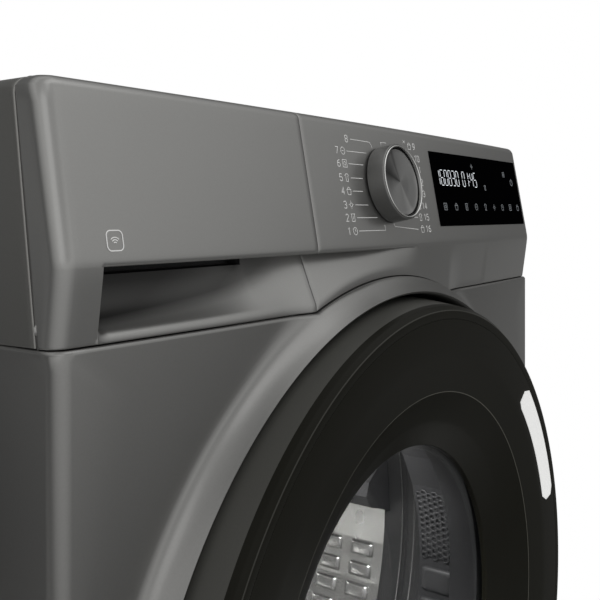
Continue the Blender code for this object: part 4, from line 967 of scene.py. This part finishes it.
ICONS = (
    (circle(0, 0, 1), ((-0.5, 0), (0.5, 0))),
    (((-1, -1), (-1, 1), (1, 1), (1, -1), (-1, -1)), circle(0, 0, 0.5, 10)),
    (((-1, 0.5), (-0.4, 1), (0.4, 1), (1, 0.5)), ((-0.5, 0.6), (-0.5, -1), (0.5, -1), (0.5, 0.6))),
    (((-1, 0.4), (1, 0.4), (0.7, -1), (-0.7, -1), (-1, 0.4)), circle(0, 0.4, 0.6, 8, 0.0, 180.0)),
    (circle(0, 0, 0.55), ((0, 0.8), (0, 1.1)), ((0, -0.8), (0, -1.1)), ((-0.8, 0), (-1.1, 0)),
     ((0.8, 0), (1.1, 0))),
    (((-1, 1), (1, 1)), ((-0.7, 1), (-0.7, -1), (0.7, -1), (0.7, 1)), ((0, 0.5), (0, -0.5))),
    (circle(0, 0, 1), ((0, 0), (0, 0.6)), ((0, 0), (0.45, 0))),
)


def icon(kind, x, y, s):
    """Small generic pictogram, within s either side of its centre."""
    return [[(x + s * px, y + s * py) for px, py in line] for line in ICONS[kind % len(ICONS)]]


def on_face(x, z, out, lift=0.00008):
    """From x and world height on the leaning face to a point just above it."""
    return face_point(x, (z - CREASE_Z) / math.cos(TILT), out + lift)


def on_window(x, z, out):
    return on_face(x, z, out, 0.00068)


def build_print():
    bm = bmesh.new()
    left_z = (0.8268, 0.8178, 0.8078, 0.7985, 0.7888, 0.7798, 0.7705)
    left_ends = (-0.0191, -0.0260, -0.0300, -0.0324, -0.0279, -0.0180, -0.0090)
    for i, (z, end) in enumerate(zip(left_z, left_ends)):
        strokes(bm, icon(i, -0.0505, z, 0.0026), FINE, on_face)
        strokes(bm, number(str(7 - i), -0.0565, z, 0.0048, right_end=True), FIGURE, on_face)
        line = [(-0.0455, z), (end, z)]
        if i == 6:
            line.append((end, z + 0.0040))
        ribbon(bm, line, FINE, on_face)
    strokes(bm, number("8", -0.0420, 0.8358, 0.0048, right_end=True), FIGURE, on_face)
    lines = (((-0.0385, 0.8358), (-0.0135, 0.8354), (-0.0112, 0.8345), (-0.0095, 0.8312)),
             ((0.0045, 0.8340), (0.0045, 0.8363), (0.0130, 0.8364)),
             ((0.0405, 0.8384), (0.0435, 0.8404)), ((0.0405, 0.8404), (0.0435, 0.8384)),
             ((0.0045, 0.7755), (0.0060, 0.7731), (0.0424, 0.7703)))
    strokes(bm, lines, FINE, on_face)
    right_z = (0.8364, 0.8268, 0.8178, 0.8078, 0.7985, 0.7888, 0.7798, 0.7706)
    for i, z in enumerate(right_z):
        strokes(bm, icon(i + 3, 0.0498, z, 0.0026), FINE, on_face)
        strokes(bm, number(str(9 + i), 0.0560, z, 0.0048), FIGURE, on_face)
        if 0 < i < 7:
            ribbon(bm, [(0.0375, z), (0.0450, z)], FINE, on_face)
    finish_mesh("fascia_print", bm, PRINT, "cabinet", sharp=60.0, slot="label_white")
    bm = bmesh.new()
    cx, cz, s = -0.2648, 0.7694, 0.0050
    square = rounded([(cx + s * px, cz + s * py) for px, py in SQUARE], 0.0024)
    ribbon(bm, square + square[:1], 0.0006, on_face)
    for r in (0.0012, 0.0024, 0.0036):
        ribbon(bm, circle(cx, cz - 0.0020, r, 8, 45.0, 90.0), DIAL_LINE, on_face)
    finish_mesh("drawer_print", bm, PRINT, "water_drawer", sharp=60.0, slot="label_white")


def build_window():
    """Glass of the display: a rim of small facets closed by a grid on both faces."""
    x0, x1, up0, up1 = WINDOW
    wide, tall = 24, 6
    bm = bmesh.new()
    grid = []
    for inset, out in ((0.0, -0.0010), (0.0, 0.0003), (0.0003, 0.0006)):
        left, right, low, high = x0 + inset, x1 - inset, up0 + inset, up1 - inset
        rim = [(mix(left, right, i / wide), low) for i in range(wide)]
        rim += [(right, mix(low, high, i / tall)) for i in range(tall)]
        rim += [(mix(right, left, i / wide), high) for i in range(wide)]
        rim += [(left, mix(high, low, i / tall)) for i in range(tall)]
        grid.append([bm.verts.new(face_point(x, up, out)) for x, up in rim])
    stack(bm, grid)
    for rim in (grid[0], grid[-1]):
        top = rim[wide + tall:2 * wide + tall + 1][::-1]
        rows = [rim[:wide + 1]]
        for k in range(1, tall):
            inner = [bm.verts.new(rim[i].co.lerp(top[i].co, k / tall)) for i in range(1, wide)]
            rows.append([rim[-k], *inner, rim[wide + k]])
        stack(bm, rows + [top], False)
    finish_mesh("display_glass", bm, GLOSS, "cabinet", sharp=40.0, replaces=["display_window"],
                slot="gloss_black")


def build_display():
    bm = bmesh.new()
    x, low, tall, wide = 0.0900, 0.8066, 0.0128, 0.0052
    advance = {" ": 0.0056, ":": 0.0026}
    for sign in "160830 01:45":
        if sign == ":":
            for z in (low + 0.0045, low + 0.0095):
                ribbon(bm, [(x, z - 0.0004), (x, z + 0.0004)], 0.0009, on_window)
        for seg in SEGMENTS.get(sign, ""):
            line = [(x + ax * wide, low + az * tall) for ax, az in SEGMENT_LINES[seg]]
            ribbon(bm, line, FIGURE, on_window)
        x += advance.get(sign, 0.0078)
    finish_mesh("display_digits", bm, LIT, "cabinet", sharp=60.0, slot="label_white")
    bm = bmesh.new()
    for i in range(9):
        strokes(bm, icon(i * 2 + 1, mix(0.0978, 0.2736, i / 8), 0.7885, 0.0028), ICON_LINE, on_window)
    for kind, cx, cz in ((4, 0.1680, 0.8252), (2, 0.1928, 0.8066), (1, 0.2483, 0.8209)):
        strokes(bm, icon(kind, cx, cz, 0.0022), ICON_LINE, on_window)
    ribbon(bm, circle(0.2677, 0.8135, 0.0030, 12, 120.0, 300.0), DIAL_LINE, on_window)
    ribbon(bm, [(0.2677, 0.8135), (0.2677, 0.8172)], DIAL_LINE, on_window)
    finish_mesh("display_icons", bm, DIM, "cabinet", sharp=60.0, slot="label_white")


# ------------------------------------------------------------ inside the drum

DRUM_IN = 0.2783
LIFTER_TURN = 6.0


def drum_point(turn, d, r):
    return (r * math.cos(turn), depth(d), AXIS_Z + r * math.sin(turn))


def cushion(bm, corners, shells, put):
    """Domed pad: rings of corners, each smaller and higher than the last."""
    rings = [[bm.verts.new(put(x * grow, y * grow, lift)) for x, y in corners]
             for grow, lift in shells]
    stack(bm, rings)
    bm.faces.new(rings[-1])


def build_pillows():
    """Raised cushions pressed into the drum wall between the lifters."""
    bm = bmesh.new()
    pitch, tall, wide = 0.0226, 0.0158, 0.0300
    shells = ((1.0, 0.0), (0.98, 0.0012), (0.86, 0.0030), (0.60, 0.0038))
    corners = rounded(SQUARE, 0.22, steps=3)
    for lifter in range(3):
        for row in range(19):
            turn = math.radians(LIFTER_TURN - 17.0 - 120.0 * lifter) - row * pitch / DRUM_IN
            for column in range(5):
                d = 0.1840 + 0.0412 * column
                cushion(bm, corners, shells, lambda x, y, lift: drum_point(
                    turn + 0.5 * tall * y / DRUM_IN, d + 0.5 * wide * x, DRUM_IN - lift))
    finish_mesh("drum_pillows", bm, STAINLESS, "drum", sharp=50.0, slot="stainless")


def build_drum_band():
    """Front band of the drum, near black as a painted dark reflection of the steel, with two fine
    bright beads.
    """
    band = rounded([(0.2782, 0.0690), (0.2768, 0.0700), (0.2768, 0.1110), (0.2752, 0.1140),
                    (0.2752, 0.1260), (0.2768, 0.1290), (0.2768, 0.1560), (0.2782, 0.1580)],
                   0.0010, steps=3)
    lathe("drum_front_band", band, DRUM_BAND_PAINTED_REFLECTION, "drum", steps=160, sharp=40.0, slot="black_plastic")
    for name, d in (("drum_bead_front", 0.1185), ("drum_bead_rear", 0.1330)):
        bead = [(0.2752 + 0.0009 * math.cos(a), d + 0.0009 * math.sin(a))
                for a in [2.0 * math.pi * k / 8 for k in range(8)]]
        lathe(name, bead, BRIGHT, "drum", steps=160, slot="bright_metal")


def build_throat_panel():
    """Perforated panel on the right of the throat and the smooth pad below it."""
    bm = bmesh.new()
    pitch, rad = 0.0056, 0.1748
    for column in range(6):
        for row in range(12):
            d0 = 0.0270 + pitch * 0.98 * column
            t0 = 0.385 - (row + 0.5 * (column % 2)) * pitch * 1.02 / rad
            outer, inner = [], []
            for k in range(6):
                a = math.radians(60.0 * k)
                for ring, size in ((outer, pitch * 0.655), (inner, pitch * 0.43)):
                    ring.append(bm.verts.new(drum_point(
                        t0 + size * math.sin(a) / rad * 0.88, d0 + size * math.cos(a), rad)))
            bridge(bm, outer, inner)
    bmesh.ops.remove_doubles(bm, verts=bm.verts, dist=0.00025)
    finish_mesh("throat_grille", bm, PANEL, "cabinet", thick=SHEET, slot="grey_plastic")
    bm = bmesh.new()
    corners = rounded(SQUARE, 0.25, steps=4)
    shells = ((1.0, 0.0), (0.97, 0.0016), (0.88, 0.0030), (0.60, 0.0034))
    for centre in (-0.110, -0.270):
        cushion(bm, corners, shells, lambda x, y, lift: drum_point(
            centre + 0.064 * y, 0.0410 + 0.0160 * x, 0.1759 - lift))
    finish_mesh("throat_pads", bm, PANEL, "cabinet", sharp=50.0, slot="grey_plastic")


# ------------------------------------------------------------------- rear side

def bead(bm, line, width, high, put):
    """Half-round pressed bead along a closed or open line."""
    pts = [Vector(p) for p in line]
    closed = (pts[0] - pts[-1]).length < 1e-7
    if closed:
        pts = pts[:-1]
    count, rows = len(pts), []
    for i, p in enumerate(pts):
        before = pts[i - 1] if (i or closed) else p
        after = pts[(i + 1) % count] if (i < count - 1 or closed) else p
        along = (after - before).normalized()
        side = Vector((-along.y, along.x))
        row = []
        for k in range(7):
            a = math.pi * k / 6
            q = p + side * (0.5 * width * math.cos(a))
            row.append(bm.verts.new(put(q.x, q.y, high * math.sin(a))))
        rows.append(row)
    stack(bm, rows + rows[:1] if closed else rows, False)
    if not closed:
        bm.faces.new(rows[0])
        bm.faces.new(list(reversed(rows[-1])))


def screw(bm, x, y, put):
    """Domed screw head with a cross recess."""
    rim = circle(0.0, 0.0, 1.0, 24)[:-1]
    arms = [0.0019 if k % 6 in (0, 1, 5) else 0.0007 for k in range(24)]
    levels = [([r] * 24, h) for r, h in ((0.0042, 0.0), (0.0042, 0.0007), (0.0036, 0.0015),
                                         (0.0024, 0.0020))]
    levels += [(arms, 0.0019), ([0.7 * r for r in arms], 0.0006)]
    rings = [[bm.verts.new(put(x + px * r, y + py * r, h)) for (px, py), r in zip(rim, radii)]
             for radii, h in levels]
    stack(bm, rings)
    bm.faces.new(rings[-1])


def build_rear():
    def put(x, z, h):
        return (x, depth(REAR_DEPTH + h), z)

    bm = bmesh.new()
    line = rounded([(-0.255, 0.075), (0.255, 0.075), (0.255, 0.800), (-0.255, 0.800)], 0.030, steps=8)
    bead(bm, line + line[:1], 0.0110, 0.0010, put)
    for z in (0.560, 0.500, 0.250, 0.190):
        bead(bm, [(-0.215 + 0.0215 * k, z) for k in range(21)], 0.0120, 0.0010, put)
    bead(bm, circle(0.0, 0.3750, 0.0700, 48), 0.0120, 0.0010, put)
    finish_mesh("rear_beads", bm, ZINC, "cabinet", sharp=60.0, slot="zinc_sheet")
    bm = bmesh.new()
    spots = [(x, z) for x in (-0.278, 0.278) for z in (0.060, 0.250, 0.440, 0.630, 0.815)]
    spots += [(x, z) for x in (-0.140, 0.0, 0.140) for z in (0.826, 0.048)]
    for x, z in spots:
        screw(bm, x, z, put)
    finish_mesh("rear_screws", bm, BRIGHT, "cabinet", sharp=35.0, slot="bright_metal")


def build_tank():
    """Stiffening beads on the top of the water tank."""
    def put(x, d, h):
        return (x, depth(d), TANK_TOP + h)

    bm = bmesh.new()
    line = rounded([(-0.2760, 0.0460), (-0.1134, 0.0460), (-0.1134, 0.3140), (-0.2760, 0.3140)],
                   0.012, steps=6)
    bead(bm, line + line[:1], 0.0070, 0.0009, put)
    for x in (-0.2350, -0.1947, -0.1544):
        bead(bm, [(x, 0.0750 + 0.0105 * k) for k in range(21)], 0.0080, 0.0009, put)
    finish_mesh("tank_beads", bm, WHITE, "water_drawer", sharp=60.0, slot="white_plastic")


# ------------------------------------------------------------ carried-over CAD

def dress_nodes():
    looks = (
        (ZINC, "rear_panel door_hinge_arm door_hinge_bracket door_latch_hook drum_shaft "
               "rear_bulkhead idler_arm"),
        (BLACK, "kick_panel service_flap base_tray knob_encoder door_latch condensate_pump "
                "drum_lifter_a drum_lifter_b drum_lifter_c front_bulkhead fan_impeller idler_pulley "
                "compressor mains_inlet"),
        (BOARD, "control_board"),
        (BRIGHT, "door_hinge_pin rear_bearing motor_shaft"),
        (WHITE, "water_tank lint_filter"),
        (GREY, "tank_cap drawer_housing fan_housing heat_pump_duct"),
        (RUBBER, "drain_hose support_roller_left support_roller_right drive_belt foot_front_left "
                 "foot_front_right foot_rear_left foot_rear_right"),
        (STAINLESS, "drum_shell drum_rear_wall"),
        (FELT, "drum_front_felt"),
        (ALU, "motor evaporator condenser"),
    )
    for mat, names in looks:
        for name in names.split():
            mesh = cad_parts[name].data
            mesh.materials.clear()
            mesh.materials.append(mat)


build_studio()
dress_nodes()
build_front_panel()
fascia_skin("drawer_front_skin", -0.2890, DRAWER_X - GAP / 2, True, "water_drawer_front")
fascia_skin("control_fascia_skin", DRAWER_X + GAP / 2, 0.2890, False, "control_fascia")
build_side_panel(-1.0)
build_side_panel(1.0)
build_top()
build_door()
build_label()
build_knob()
build_print()
build_window()
build_display()
build_pillows()
build_drum_band()
build_throat_panel()
build_rear()
build_tank()
